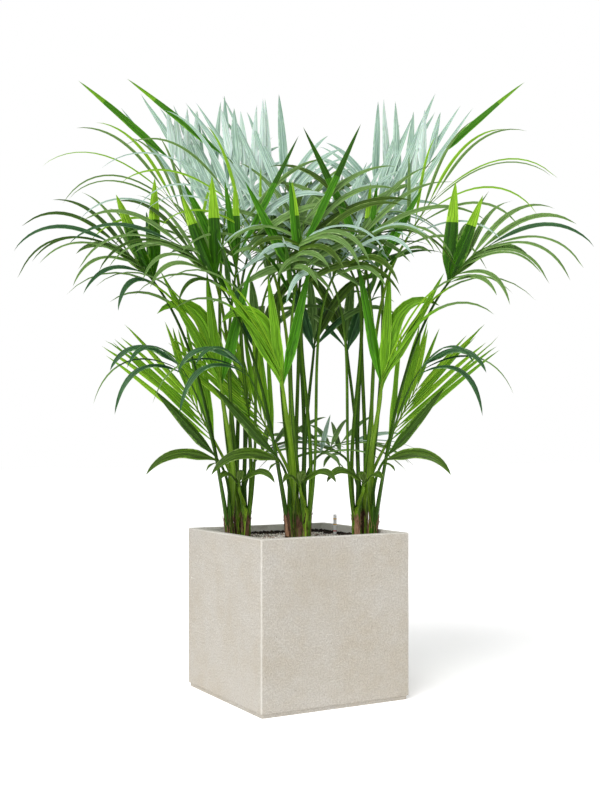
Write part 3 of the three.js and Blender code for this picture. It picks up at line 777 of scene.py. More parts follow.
@dataclass
class Bed:
    """The planter's filling: packed soil, a rough skin of soil, crumbs and small pebbles.

    packing is the distance of the pebbles' rows as a share of their spacing, strewn how far a pebble lies
    from its place, and stone_shares how common each kind of pebble is.
    """

    pebble: float = 3.7
    spacing: float = 8.4
    packing: float = 0.87
    strewn: float = 1.6
    stone_shares: tuple[float, ...] = (0.42, 0.27, 0.16, 0.06, 0.09)
    bare_back: float = 62
    bare_front: float = 7
    skin_top: float = -4.5
    skin_points: int = 64
    crumb: float = 3.4
    crumbs: int = 5200
    brown_crumbs: float = 0.3
    seed: int = 11
    stems: list[tuple[float, float, float]] = field(default_factory=list)

    def build(self, effects: Effects) -> None:
        """Makes the skin of soil, the crumbs and the pebbles, and dresses the packed soil."""
        low, high = corners("gravel")
        wall = corners("soil")[1][0]
        top = high[2]
        soil = (
            EarthFinish("soil_dark", "#2b221b", "#17110d", 0.95),
            EarthFinish("soil_brown", "#4a392b", "#2b2019", 0.95),
        )
        soils = [f.material(effects) for f in soil]
        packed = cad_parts["soil"]
        packed.data.materials.clear()
        packed.data.materials.append(soils[0])
        self._skin(wall, low[2], top).piece(soils, "soil", crease=180)
        self._crumbs(wall, top).piece(soils, "soil", crease=60)
        stones = (
            EarthFinish("pebble_white", "#fcf9f3", "#e8e2d8", 0.7),
            EarthFinish("pebble_cream", "#f0e6d8", "#d8cab8", 0.7),
            EarthFinish("pebble_rose", "#b59a8b", "#94776a", 0.7),
            EarthFinish("pebble_brown", "#7d6556", "#5b4639", 0.75),
            EarthFinish("pebble_grey", "#b9b6b2", "#908c88", 0.7),
        )
        pebbles = self._pebbles(wall, top)
        pebbles.piece([f.material(effects) for f in stones], "gravel", ["gravel"], crease=180)

    def _bare(self, x: float, y: float, wall: float) -> float:
        """How deep in the strip bare of pebbles a place is, from 0 at its edge to 1 at the wall."""
        ragged = 9 * math.sin(x / 23 + 1) + 7 * math.sin(y / 17 + 2) + 5 * math.sin((x - y) / 9)
        back = wall - max(x, y)
        front = wall + min(x, y)
        deep = (self.bare_back + ragged - back) / self.bare_back
        near = (self.bare_front + ragged * 0.25 - front) / self.bare_front
        return max(deep, near, 0.0)

    def _skin(self, wall: float, bottom: float, top: float) -> Sheaf:
        """A closed slab of soil with an uneven top."""
        count = self.skin_points
        axis = np.linspace(-wall + 0.2, wall - 0.2, count)
        rng = np.random.default_rng(self.seed)
        rough = rng.uniform(-1, 1, (count, count))
        points = []
        for i, x in enumerate(axis):
            for j, y in enumerate(axis):
                heap = 5.5 * min(1.0, self._bare(x, y, wall)) + 1.6 * rough[i, j]
                points.append((x, y, top + self.skin_top + heap))
        faces = []
        for i in range(count - 1):
            for j in range(count - 1):
                a = i * count + j
                faces.append((a, a + count, a + count + 1, a + 1))
        edge = [i * count for i in range(count)]
        edge += [(count - 1) * count + j for j in range(1, count)]
        edge += [i * count + count - 1 for i in range(count - 2, -1, -1)]
        edge += [j for j in range(count - 2, 0, -1)]
        under = len(points)
        points += [(points[i][0], points[i][1], bottom) for i in edge]
        for k in range(len(edge)):
            j = (k + 1) % len(edge)
            faces.append((edge[k], under + k, under + j, edge[j]))
        faces.append(tuple(under + k for k in range(len(edge)))[::-1])
        sheaf = Sheaf("soil_skin")
        sheaf.add(np.array(points), faces)
        return sheaf

    @staticmethod
    def _lump(rng: np.random.Generator, size: float, flat: float, rough: float) -> tuple[np.ndarray, list]:
        """A small rounded body with 20 points.

        Args:
            rng: the seeded source of its shape.
            size: its radius.
            flat: its height as a share of its width.
            rough: how uneven it is.

        Returns:
            Its points about its own middle, and its faces.
        """
        sides, levels = 6, (-0.62, 0.0, 0.62)
        points = [(0.0, 0.0, -1.0)]
        for k, level in enumerate(levels):
            reach = math.sqrt(1 - level * level)
            for i in range(sides):
                angle = (i + 0.5 * k) / sides * 2 * math.pi
                points.append((reach * math.cos(angle), reach * math.sin(angle), level))
        points.append((0.0, 0.0, 1.0))
        shape = np.array(points)
        shape *= size * (1 + rough * rng.uniform(-1, 1, (len(shape), 1)))
        shape *= np.array([rng.uniform(0.85, 1.3), rng.uniform(0.75, 1.05), flat])
        spin = rng.uniform(0, 2 * math.pi)
        c, s = math.cos(spin), math.sin(spin)
        tip = rng.uniform(-0.5, 0.5)
        turn = np.array([[c, -s, 0], [s, c, 0], [0, 0, 1]])
        lean = np.array([[1, 0, 0], [0, math.cos(tip), -math.sin(tip)], [0, math.sin(tip), math.cos(tip)]])
        last = len(points) - 1
        faces = [(0, 1 + (i + 1) % sides, 1 + i) for i in range(sides)]
        for k in range(len(levels) - 1):
            for i in range(sides):
                a = 1 + k * sides + i
                b = 1 + k * sides + (i + 1) % sides
                faces.append((a, b, b + sides, a + sides))
        top = 1 + (len(levels) - 1) * sides
        faces += [(top + i, top + (i + 1) % sides, last) for i in range(sides)]
        return shape @ lean.T @ turn.T, faces

    def _clear_of_stems(self, x: float, y: float) -> bool:
        """Whether a place is outside every stem."""
        return all((x - sx) ** 2 + (y - sy) ** 2 > r * r for sx, sy, r in self.stems)

    def _pebbles(self, wall: float, top: float) -> Sheaf:
        """A loose layer of pebbles, sparse towards the back walls."""
        rng = np.random.default_rng(self.seed + 1)
        sheaf = Sheaf("pebbles")
        kinds = len(self.stone_shares)
        for row in range(int(2 * wall / (self.spacing * self.packing))):
            row_y = -wall + self.pebble + row * self.spacing * self.packing
            for column in range(int(2 * wall / self.spacing)):
                x = -wall + self.pebble + (column + 0.5 * (row % 2)) * self.spacing
                x += rng.uniform(-self.strewn, self.strewn)
                y = row_y + rng.uniform(-self.strewn, self.strewn)
                size = self.pebble * rng.uniform(0.72, 1.22)
                kind = int(rng.choice(kinds, p=self.stone_shares))
                thin = rng.uniform()
                inside = max(abs(x), abs(y)) < wall - size
                if not inside or thin < self._bare(x, y, wall) * 2.2 or not self._clear_of_stems(x, y):
                    continue
                shape, faces = self._lump(rng, size, rng.uniform(0.6, 0.85), 0.1)
                z = top - size * 0.7 + rng.uniform(-1.6, 0.9)
                sheaf.add(shape + np.array([x, y, z]), faces, kind)
        return sheaf

    def _crumbs(self, wall: float, top: float) -> Sheaf:
        """Crumbs of soil along the walls, heaped a little against the back ones."""
        rng = np.random.default_rng(self.seed + 2)
        sheaf = Sheaf("soil_crumbs")
        for _ in range(self.crumbs):
            x, y = rng.uniform(-wall + 4, wall - 4, 2)
            bare = self._bare(x, y, wall)
            if rng.uniform() > bare * 2.5 or not self._clear_of_stems(x, y):
                continue
            size = self.crumb * rng.uniform(0.45, 1.2)
            shape, faces = self._lump(rng, size, rng.uniform(0.6, 1.0), 0.3)
            z = top - 2.5 + 6.5 * min(1, bare) * rng.uniform(0.2, 1.1)
            sheaf.add(shape + np.array([x, y, z]), faces, int(rng.uniform() < self.brown_crumbs))
        return sheaf


class GaugeSlot(IntEnum):
    """The gauge's finishes, by slot number."""

    WHITE = 0
    YELLOW = 1
    RED = 2


@dataclass
class WaterGauge:
    """The slim upright tube of a water level gauge, with its collar and scale marks.

    collar gives the rings at its top, as shares of the tube's radius and depths below its end.
    """

    tube: float = 5.4
    sides: int = 20
    band_sides: int = 9
    band_arc: tuple[float, float] = (150, 330)
    collar: tuple[tuple[float, float], ...] = (
        (1.0, 4.5), (1.0, 4.0), (0.93, 3.6), (0.93, 3.0), (1.0, 2.6), (1.0, 0.9), (0.85, 0.0),
    )
    marks: tuple[tuple[float, GaugeSlot], ...] = (
        (0.78, GaugeSlot.YELLOW), (0.5, GaugeSlot.YELLOW), (0.17, GaugeSlot.RED),
    )

    def build(self, effects: Effects) -> None:
        """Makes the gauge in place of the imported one."""
        low, high = corners("water_gauge")
        centre = (low + high) / 2
        centre[2] = 0
        height = high[2] - low[2]
        body = Sheaf("gauge_tube")
        outer = [(self.tube * 0.9, 0.0), (self.tube, 1.0)]
        outer += [(self.tube * share, height - depth) for share, depth in self.collar]
        self._turned(body, outer, centre, low[2], GaugeSlot.WHITE)
        near, far = self.tube + 0.02, self.tube + 0.35
        for share, slot in self.marks:
            z = height * share
            band = [(near, z - 1.5), (far, z - 1.3), (far, z + 1.3), (near, z + 1.5)]
            self._turned(body, band, centre, low[2], slot, self.band_arc)
        finishes = (
            PlasticFinish("gauge_white", "#f6f7f8", 0.25),
            PlasticFinish("gauge_yellow", "#e8ae1c", 0.4),
            PlasticFinish("gauge_red", "#cc1c10", 0.4),
        )
        body.piece([f.material(effects) for f in finishes], "gauge", ["water_gauge"], crease=35)

    def _turned(
        self,
        sheaf: Sheaf,
        profile: Sequence[tuple[float, float]],
        centre: Point,
        foot: float,
        slot: GaugeSlot,
        arc: tuple[float, float] = (0, 360),
    ) -> None:
        """Adds a body turned from a profile.

        Args:
            sheaf: the piece it goes into.
            profile: radius and height of each ring, from below.
            centre: of the gauge.
            foot: the height that the profile starts from.
            slot: its finish.
            arc: the first and last angle, in degrees, which is a whole turn unless it is a short band.
        """
        whole = arc == (0, 360)
        count = self.sides if whole else self.band_sides
        rings = []
        for radius, z in profile:
            for i in range(count):
                angle = mix(*arc, i / count if whole else i / (count - 1)) * DEGREE
                x = centre[0] + radius * math.cos(angle)
                y = centre[1] + radius * math.sin(angle)
                rings.append((x, y, foot + z))
        if whole:
            faces = capped_faces(len(profile), count)
        else:
            faces = loft_faces(len(profile), count, closed=False)
            last = (len(profile) - 1) * count
            for i in range(count - 1):
                faces.append((last + i, last + i + 1, i + 1, i))
            faces.append(tuple(k * count for k in range(len(profile))))
            faces.append(tuple(k * count + count - 1 for k in range(len(profile)))[::-1])
        sheaf.add(np.array(rings), faces, slot)


# ---------------------------------------------------------------- how a frond grows


class Tint(Enum):
    """The record's material slots that fronds are dealt to."""

    DARK = "leaf_dark"
    LIGHT = "leaf_light"
    GREY = "leaf_grey"
    BLUE = "leaf_blue"


@dataclass(frozen=True)
class Row:
    """One row of leaflets: lengths at the rib's foot, middle and tip, and droop at its foot and tip."""

    lengths: tuple[float, float, float]
    droop: tuple[float, float]


NO_ROW = Row((0, 0, 0), (0, 0))


@dataclass(frozen=True)
class Blade:
    """A single blade of a frond.

    at is the share of the rib below it, tone its finish up to the share split of its length and tip
    its finish from there, and pleats how many folds it has on each side of its middle. A tip finish that
    differs paints light along the blade: the lighter part is painted backlight and the darker part painted
    shade.
    """

    at: float
    aim: tuple[float, float]
    turn: float
    length: float
    width: float
    droop: float
    tone: str
    tip: str = ""
    split: float = 1.0
    pleats: int = 0


@dataclass(frozen=True)
class Frond:
    """One frond of a clump, from the clump's own foot: x along the row, y to the back, z up.

    finer is how many leaflets stand for one of the source's, and stout how much wider its stalk is.
    """

    stem: str
    tint: Tint
    apex: tuple[float, float, float]
    aim: tuple[float, float]
    rib: float
    sag: float
    turn: float
    pairs: int = 0
    width: float = 20
    splay: tuple[float, float] = (0, 0)
    lift: float = 0
    left: Row = NO_ROW
    right: Row = NO_ROW
    finer: float = 1.0
    stout: float = 1.0
    blades: tuple[Blade, ...] = ()


@dataclass(frozen=True)
class Stem:
    """One short stem of a clump, from the clump's own foot."""

    x: float
    y: float
    height: float
    lean_x: float
    lean_y: float


@dataclass(frozen=True)
class Clump:
    """One clump of the row."""

    name: str
    x: float
    y: float
    mirror: int
    seed: int


@dataclass
class Line:
    """A line in space with its direction and the way its upper side faces."""

    points: np.ndarray
    directions: np.ndarray
    facings: np.ndarray

    def at(self, share: float) -> tuple[Point, Point, Point]:
        """Point, direction and facing at a share of the line."""
        place = min(max(share, 0.0), 1.0) * (len(self.points) - 1)
        k = min(int(place), len(self.points) - 2)
        part = place - k
        point = self.points[k] * (1 - part) + self.points[k + 1] * part
        direction = unit(self.directions[k] * (1 - part) + self.directions[k + 1] * part)
        facing = self.facings[k] * (1 - part) + self.facings[k + 1] * part
        return point, direction, square_to(facing, direction)


STEMS = {
    "outer": Stem(-33, -14, 60, -5, -2),
    "inner": Stem(16, -12, 72, 3, 0),
    "rear": Stem(-7, 26, 94, -1, 3),
}

CLUMPS = (
    Clump("left", -168, -12, 1, 1),
    Clump("centre", 16, -29, 1, 2),
    Clump("right", 204, 10, -1, 3),
)

ROW_TURN = -29.5 * DEGREE
GROWTH = 0.975

# A blade's second tone, from its split share on, paints light along it: the lighter part is painted backlight
# and the darker part painted shade.
FRONDS = {
    "tall": Frond(
        "rear", Tint.GREY, (-64, 80, 930), (65, 80), 200, 0.1, 25, 6, 33, (36, 24), 4,
        Row((590, 430, 220), (0.15, 0.1)), Row((340, 310, 240), (1.3, 0.8)),
        blades=(Blade(1, (180, 87), -90, 300, 32, 0, "steel_painted_sheen"),),
    ),
    "wing": Frond(
        "outer", Tint.DARK, (-250, -140, 778), (197, 52), 170, 0.6, -45, 5, 24, (46, 9), 6,
        Row((220, 330, 360), (2, 1.8)), Row((300, 330, 350), (0.8, 1.7)), finer=1.2,
        blades=(
            Blade(0, (195, 66), -80, 290, 54, 0, "deep", "lime", 0.62),
            Blade(0.05, (180, 88), -90, 320, 50, 0, "deep", "lime", 0.56),
            Blade(0.1, (200, 52), -50, 290, 46, 1.9, "moss", "sage", 0.45),
        ),
    ),
    "strap": Frond(
        "outer", Tint.DARK, (-58, -70, 232), (190, 60), 30, 0, -55,
        blades=(
            Blade(0.8, (195, 49), -75, 290, 42, 0.05, "moss"),
            Blade(0.4, (201, 26), -60, 250, 44, 1.7, "olive", pleats=1),
            Blade(0, (240, 20), 0, 90, 20, 1.6, "olive"),
        ),
    ),
    "ribbon": Frond(
        "outer", Tint.LIGHT, (-52, -100, 440), (235, 80), 80, 0, 180, stout=1.7,
        blades=(
            Blade(0.2, (188, 84), -70, 385, 74, 3.4, "bright", pleats=3),
            Blade(0.4, (353, 78), 80, 380, 40, 0, "leaf", pleats=1),
            Blade(0.5, (192, 83), -85, 345, 38, 0, "bright", pleats=2),
            Blade(0.6, (192, 61), -75, 370, 34, 0, "bright", pleats=2),
            Blade(0.75, (200, 66), -40, 465, 26, 2.2, "bright", "sage", 0.6, pleats=1),
            Blade(0.9, (205, 69), -40, 555, 17, 2.4, "lime", "sage", 0.5),
            Blade(1, (195, 66), -40, 600, 17, 2.5, "lime", "sage", 0.5),
        ),
    ),
    "bouquet": Frond(
        "inner", Tint.DARK, (-22, -100, 730), (30, 82), 250, 0.1, 60, 4, 32, (42, 28), 6,
        NO_ROW, Row((380, 400, 340), (2, 1.2)),
        blades=(
            Blade(0, (213, 68), -40, 300, 40, 2.4, "deep", "sage", 0.5),
            Blade(0.08, (245, 76), -40, 190, 44, 1.6, "deep", "mint_painted_backlight", 0.8),
            Blade(0.3, (184, 60), -70, 325, 40, 0.05, "leaf"),
            Blade(0.45, (180, 83), -90, 265, 30, 0, "leaf"),
            Blade(0.55, (180, 87), -90, 240, 28, 0, "deep", "lime", 0.5),
            Blade(0.6, (353, 64), 75, 420, 31, 0.05, "leaf", "deep", 0.6),
        ),
        finer=1.25,
    ),
    "arcs": Frond(
        "outer", Tint.LIGHT, (-120, -30, 905), (187, 60.5), 200, 0.3, -60, 5, 15, (40, 8), 8,
        Row((330, 415, 435), (1.8, 1.75)), Row((250, 330, 400), (0.8, 1.6)), finer=1.2,
    ),
    "plume": Frond(
        "rear", Tint.GREY, (-93, 150, 1040), (196, 51), 225, 0, -90, 6, 34, (42, 32), 0,
        NO_ROW, Row((390, 260, 170), (0.05, 0.05)),
        blades=(Blade(1, (190, 40), -75, 400, 30, 0.1, "leaf", "bright", 0.7),),
    ),
    "feather": Frond(
        "rear", Tint.LIGHT, (-78, 29, 290), (178, 62), 210, 0.05, -75, 5, 24, (22, 12), 2,
        Row((470, 380, 250), (0.15, 0.1)), Row((360, 300, 220), (0.1, 0.05)), finer=1.5,
    ),
    "hook": Frond(
        "outer", Tint.BLUE, (-148, -120, 485), (206, 60), 50, 0.3, -20,
        blades=(
            Blade(0.3, (215, 33), -20, 335, 32, 3.4, "teal"),
            Blade(0.6, (201, 33), -20, 355, 16, 2.5, "teal", "sage", 0.6),
            Blade(0.8, (233, 45), -20, 275, 30, 2.3, "teal"),
            Blade(1, (206, 47), -25, 270, 44, 2.6, "teal"),
        ),
    ),
    "sweep": Frond(
        "inner", Tint.DARK, (92, -60, 795), (350, 66), 180, 1.1, 40, 6, 30, (52, 9), 6,
        Row((250, 400, 400), (0.5, 1.2)), Row((260, 360, 350), (2, 1.9)), finer=1.4,
    ),
    "low": Frond(
        "inner", Tint.LIGHT, (-2, -75, 160), (92, 66), 16, 0, 0,
        blades=(
            Blade(0.2, (238, 55), -40, 125, 36, 2.2, "olive", pleats=1),
            Blade(0.8, (323, 48), 40, 170, 38, 2.3, "olive", pleats=1),
            Blade(1, (280, 62), 0, 90, 28, 2.4, "olive"),
        ),
    ),
    "side": Frond(
        "inner", Tint.BLUE, (42, 100, 598), (75, 72), 60, 0.2, 0,
        blades=(
            Blade(0, (185, 74), -80, 240, 50, 0.4, "teal", pleats=1),
            Blade(0.1, (352, 56), 45, 330, 38, 1.9, "teal", "sage", 0.4),
            Blade(0.3, (10, 72), 60, 380, 42, 2, "olive"),
            Blade(0.5, (110, 80), 0, 250, 40, 1.4, "sage"),
            Blade(0.6, (40, 62), 30, 330, 38, 1.9, "teal", "sage", 0.5),
            Blade(0.8, (85, 55), 0, 320, 38, 1.8, "olive"),
            Blade(1, (140, 60), 0, 290, 36, 1.8, "leaf"),
        ),
    ),
    "under": Frond(
        "rear", Tint.GREY, (58, 74, 258), (24, 34), 190, 1, 20, 4, 24, (46, 12), 4,
        Row((220, 260, 200), (0.4, 0.7)), Row((200, 240, 190), (0.8, 0.9)), finer=1.2,
        blades=(Blade(0, (320, 28), 0, 110, 30, 2.8, "sage"),),
    ),
    "high": Frond(
        "inner", Tint.DARK, (36, 10, 850), (14, 62), 280, 1.2, 40, 6, 30, (54, 9), 6,
        Row((320, 330, 300), (0.3, 0.7)), Row((240, 320, 300), (1.3, 1.2)), finer=1.4,
    ),
    "back": Frond(
        "rear", Tint.DARK, (2, 120, 850), (70, 62), 290, 1.2, 0, 7, 34, (56, 10), 8,
        Row((380, 420, 300), (0.9, 1)), Row((380, 420, 300), (1.2, 1)), finer=1.5,
    ),
}


@dataclass(frozen=True)
class Variation:
    """How much leaflets differ: two angles in degrees, shares of three measures, and their shape.

    shape holds shares of the full twist, bend and fold that a blade may have.
    """

    angles: tuple[float, float]
    length: float
    width: float
    droop: float
    shape: tuple[float, float, float] = (1.0, 1.0, 1.0)


ROW_VARIATION = Variation((4, 5), 0.07, 0.12, 0.2)
SINGLE_VARIATION = Variation((2, 2), 0.04, 0.06, 0.06, (0.5, 0.6, 1.0))


@dataclass(frozen=True)
class Rule:
    """How every frond grows: the values of the part's source, and those that only the finer form needs."""

    gap: float = 0.3
    petiole_foot: float = 7.4
    petiole_apex: float = 4.2
    stalk_depth: float = 0.84
    rib_tip: float = 1.5
    ring: float = 8.6
    lean: float = 0.16
    rise: float = 0.4
    arrive: float = 0.25
    droop_start: float = 0.25
    droop_growth: float = 1.5
    first: float = 0.03
    span: float = 0.95
    stagger: float = 0.4
    root: float = 0.12
    widest: float = 0.3
    hold: float = 2.6
    taper: float = 0.9
    last_width: float = 0.85
    roll: float = 18
    shortest: float = 30
    seed_step: int = 31
    blade_seeds: int = 40
    narrower: float = 0.9
    blade_steps: int = 15
    thickness: float = 0.7
    fold: float = 25
    twist: float = 0.5
    bend: float = 0.045
    pleat: float = 0.07
    ripple: float = 0.05

    def droop_line(
        self, start: Point, direction: Point, facing: Point, length: float, droop: float, steps: int
    ) -> Line:
        """A line that leaves start along direction and droops under its own weight."""
        points = [start]
        directions = [direction]
        facings = [facing]
        d, m = direction.copy(), facing.copy()
        for k in range(1, steps + 1):
            u = (k - 0.5) / steps
            d = unit(d - UP * (droop * (self.droop_start + self.droop_growth * u) / steps))
            m = square_to(m, d)
            points.append(points[-1] + d * (length / steps))
            directions.append(d)
            facings.append(m)
        return Line(np.array(points), np.array(directions), np.array(facings))

    def outline(self, share: float) -> float:
        """Share of a leaflet's full width at a share of its length."""
        swell = min(1.0, share / self.widest)
        smooth = swell * swell * (3 - 2 * swell)
        return (self.root + (1 - self.root) * smooth) * (1 - share**self.hold) ** self.taper

    def feet(self) -> dict[str, tuple[Point, Point]]:
        """Where each frond's petiole stands on its stem's top, and the way out from the stem there."""
        found: dict[str, tuple[Point, Point]] = {}
        for stem_name, stem in STEMS.items():
            top = np.array([stem.x + stem.lean_x, stem.y + stem.lean_y, 0])
            own = [name for name, frond in FRONDS.items() if frond.stem == stem_name]
            heading = {n: math.atan2(FRONDS[n].apex[1] - top[1], FRONDS[n].apex[0] - top[0]) for n in own}
            own.sort(key=lambda n: heading[n])
            step = 2 * math.pi / len(own)
            mean = sum(heading[n] - i * step for i, n in enumerate(own)) / len(own)
            for i, name in enumerate(own):
                out = np.array([math.cos(mean + i * step), math.sin(mean + i * step), 0.0])
                found[name] = (top + out * self.ring + UP * (stem.height + 2 * self.gap), out)
        return found

    @staticmethod
    def aim(azimuth: float, elevation: float, turn: float) -> tuple[Point, Point]:
        """The direction and upper side of a rib or blade where it starts."""
        azimuth, elevation = azimuth * DEGREE, elevation * DEGREE
        level = np.array([math.cos(azimuth), math.sin(azimuth), 0.0])
        forward = level * math.cos(elevation) + UP * math.sin(elevation)
        upper = -level * math.sin(elevation) + UP * math.cos(elevation)
        return forward, turned(upper, forward, turn * DEGREE)


@dataclass
class Crown:
    """All fronds of one clump: petioles, ribs and leaflets."""

    clump: Clump
    rule: Rule
    ground: float
    base_steps: int = 5
    petiole_steps: int = 26
    rib_steps: int = 12

    def world(self, points: np.ndarray) -> np.ndarray:
        """Points of the clump's own frame in the part's frame."""
        grown = points * np.array([self.clump.mirror, 1, 1]) * GROWTH
        moved = grown + np.array([self.clump.x, self.clump.y, self.ground])
        c, s = math.cos(ROW_TURN), math.sin(ROW_TURN)
        return moved @ np.array([[c, s, 0], [-s, c, 0], [0, 0, 1]])

    def build(self, palette: "Palette") -> None:
        """Makes the clump's stalks and leaflets, a piece for each tint.

        Args:
            palette: the finishes.
        """
        feet = self.rule.feet()
        stalks = Sheaf(f"stalks_{self.clump.name}")
        leaves = {tint: Sheaf(f"leaflets_{self.clump.name}_{tint.name.lower()}") for tint in Tint}
        for number, (name, frond) in enumerate(FRONDS.items()):
            foot, out = feet[name]
            seed = self.clump.seed * self.rule.seed_step + number
            rib = self._stalk(stalks, frond, name, foot, out, seed)
            self._leaflets(leaves[frond.tint], frond, name, rib, seed, palette)
            self._singles(leaves[frond.tint], frond, rib, seed, palette)
        for tint, sheaf in leaves.items():
            nodes = [f"frond_{self.clump.name}_{n}" for n, f in FRONDS.items() if f.tint is tint]
            sheaf.piece(palette.blades, tint.value, nodes, crease=22)
        stalks.piece(palette.stalks, Tint.DARK.value, crease=50)

    def _stalk(
        self, sheaf: Sheaf, frond: Frond, name: str, foot: Point, out: Point, seed: int
    ) -> Line:
        """Adds a frond's leaf base, petiole and rib as one tapering, channelled body.

        Args:
            sheaf: the piece it goes into.
            frond: the frond.
            name: of the frond.
            foot: where its petiole stands on the stem's top.
            out: the way out from the stem there.
            seed: for its small variations.

        Returns:
            The rib's line.
        """
        rule = self.rule
        forward, upper = rule.aim(*frond.aim, frond.turn)
        apex = np.array(frond.apex, float)
        reach = float(np.linalg.norm(apex - foot))
        start = unit(UP + out * rule.lean)
        handles = (foot, foot + start * reach * rule.rise, apex - forward * reach * rule.arrive, apex)
        rib = rule.droop_line(apex, forward, upper, frond.rib, frond.sag, self.rib_steps)
        stem = STEMS[frond.stem]
        base = np.array([stem.x, stem.y, -3.0]) + out * (rule.ring + 3)
        points, faces_to, widths, depths, wraps = [], [], [], [], []
        for i in range(self.base_steps):
            t = i / self.base_steps
            points.append(base * (1 - t) + (foot + out * 0.5) * t)
            faces_to.append(-out)
            widths.append(mix(8.0, rule.petiole_foot, t) + 0.6 * wobble(seed, i, 9))
            depths.append(mix(4.4, 6.2, t))
            wraps.append(mix(1.0, 0.55, t))
        for i in range(self.petiole_steps + 1):
            t = i / self.petiole_steps
            a, b, c, d = handles
            s = 1 - t
            points.append(a * s**3 + 3 * b * s * s * t + 3 * c * s * t * t + d * t**3)
            faces_to.append(-out * max(0.0, 1 - 2.5 * t) + upper * min(1.0, 2.5 * t))
            slim = mix(rule.petiole_foot, rule.petiole_apex, t**0.9)
            widths.append(slim * mix(1.0, frond.stout, min(1.0, 3 * t)))
            depths.append(slim * rule.stalk_depth)
            wraps.append(0.55 * max(0.0, 1 - 6 * t))
        for k in range(1, self.rib_steps + 1):
            t = k / self.rib_steps
            points.append(rib.points[k])
            faces_to.append(rib.facings[k])
            widths.append(mix(rule.petiole_apex * frond.stout, rule.rib_tip, t))
            depths.append(mix(rule.petiole_apex, rule.rib_tip, t) * rule.stalk_depth)
            wraps.append(0.0)
        tone = STALK_TONES[name]
        self._tube(sheaf, np.array(points), np.array(faces_to), widths, depths, wraps, tone)
        return rib

    def _tube(
        self,
        sheaf: Sheaf,
        points: np.ndarray,
        facings: np.ndarray,
        widths: Sequence[float],
        depths: Sequence[float],
        wraps: Sequence[float],
        slot: int,
    ) -> None:
        """Adds a body with a channelled section along a line.

        Args:
            sheaf: the piece it goes into.
            points: the line.
            facings: the way the channel faces at each point.
            widths: half the width at each point.
            depths: half the depth at each point.
            wraps: how far the section bends round the stem at each point, from 0 to 1.
            slot: its finish.
        """
        tangents = np.gradient(points, axis=0)
        profile = [(math.cos(a), math.sin(a)) for a in np.linspace(math.pi, 2 * math.pi, 8)]
        profile += [(0.86, 0.42), (0.45, 0.22), (0.0, 0.1), (-0.45, 0.22), (-0.86, 0.42)]
        rings, places = [], []
        travelled = 0.0
        for k, point in enumerate(points):
            direction = unit(tangents[k])
            upper = square_to(facings[k], direction)
            right = np.cross(direction, upper)
            travelled += float(np.linalg.norm(point - points[k - 1])) if k else 0.0
            for x, y in profile:
                curl = wraps[k] * widths[k] * 0.45 * x * x
                rings.append(point + right * (x * widths[k]) + upper * (y * depths[k] + curl))
                places.append((abs(math.atan2(x, -y)) / math.pi, travelled / 400))
        faces = [face[::-1] for face in capped_faces(len(points), len(profile))]
        sheaf.add(self.world(np.array(rings)), faces, slot, np.array(places), self.clump.mirror < 0)

    def _leaflets(
        self, sheaf: Sheaf, frond: Frond, name: str, rib: Line, seed: int, palette: "Palette"
    ) -> None:
        """Adds both rows of a frond's leaflets."""
        rule, varies = self.rule, ROW_VARIATION
        pairs = round(frond.pairs * frond.finer)
        slim = rule.narrower if frond.finer > 1 else 1.0
        last = pairs - 1
        for pair in range(pairs):
            for side in (-1, 1):
                ahead = rule.stagger if side > 0 else 0.0
                t = (pair + ahead) / (last + rule.stagger)
                point, forward, upper = rib.at(rule.first + rule.span * t)
                right = np.cross(forward, upper)

                def jitter(n: int) -> float:
                    """A repeatable variation of this leaflet."""
                    return wobble(seed, pair + 0.5 * side, n)

                splay = (mix(*frond.splay, t) + varies.angles[0] * jitter(1)) * DEGREE
                lift = (frond.lift + varies.angles[1] * jitter(2)) * DEGREE
                direction = unit(
                    forward * math.cos(splay)
                    + right * (side * math.sin(splay) * math.cos(lift))
                    + upper * (math.sin(splay) * math.sin(lift))
                )
                facing = square_to(upper - right * (side * math.tan(lift)), direction)
                facing = turned(facing, direction, -side * rule.roll * DEGREE)
                row = frond.left if side < 0 else frond.right
                width = frond.width * slim * (1 + varies.width * jitter(4))
                width *= rule.last_width if pair == last else 1
                length = along(row.lengths, t) * (1 + varies.length * jitter(3))
                droop = mix(*row.droop, t) * (1 + varies.droop * jitter(5))
                if length < rule.shortest:
                    continue
                line = rule.droop_line(point, direction, facing, length, droop, rule.blade_steps)
                slots = palette.deal(name, jitter(6))
                self._blade(sheaf, line, width, 0, (jitter(7), jitter(8), jitter(9)), slots, slots, 1.0)

    def _singles(self, sheaf: Sheaf, frond: Frond, rib: Line, seed: int, palette: "Palette") -> None:
        """Adds a frond's single blades."""
        rule, varies = self.rule, SINGLE_VARIATION
        for number, blade in enumerate(frond.blades):

            def jitter(n: int) -> float:
                """A repeatable variation of this blade."""
                return wobble(seed, rule.blade_seeds + number, n)

            azimuth = blade.aim[0] + varies.angles[0] * jitter(1)
            elevation = blade.aim[1] + varies.angles[1] * jitter(2)
            direction, facing = rule.aim(azimuth, elevation, blade.turn)
            length = blade.length * (1 + varies.length * jitter(3))
            width = blade.width * (1 + varies.width * jitter(4))
            droop = blade.droop * (1 + varies.droop * jitter(5))
            line = rule.droop_line(rib.at(blade.at)[0], direction, facing, length, droop, rule.blade_steps)
            twist, bend, fold = varies.shape
            varied = (twist * jitter(7), bend * jitter(8), fold * jitter(9))
            # The tip finish paints light along the blade: lighter is painted backlight, darker is painted
            # shade.
            slots, tip_slots = palette.number[blade.tone], palette.number[blade.tip or blade.tone]
            self._blade(sheaf, line, width, blade.pleats, varied, slots, tip_slots, blade.split)

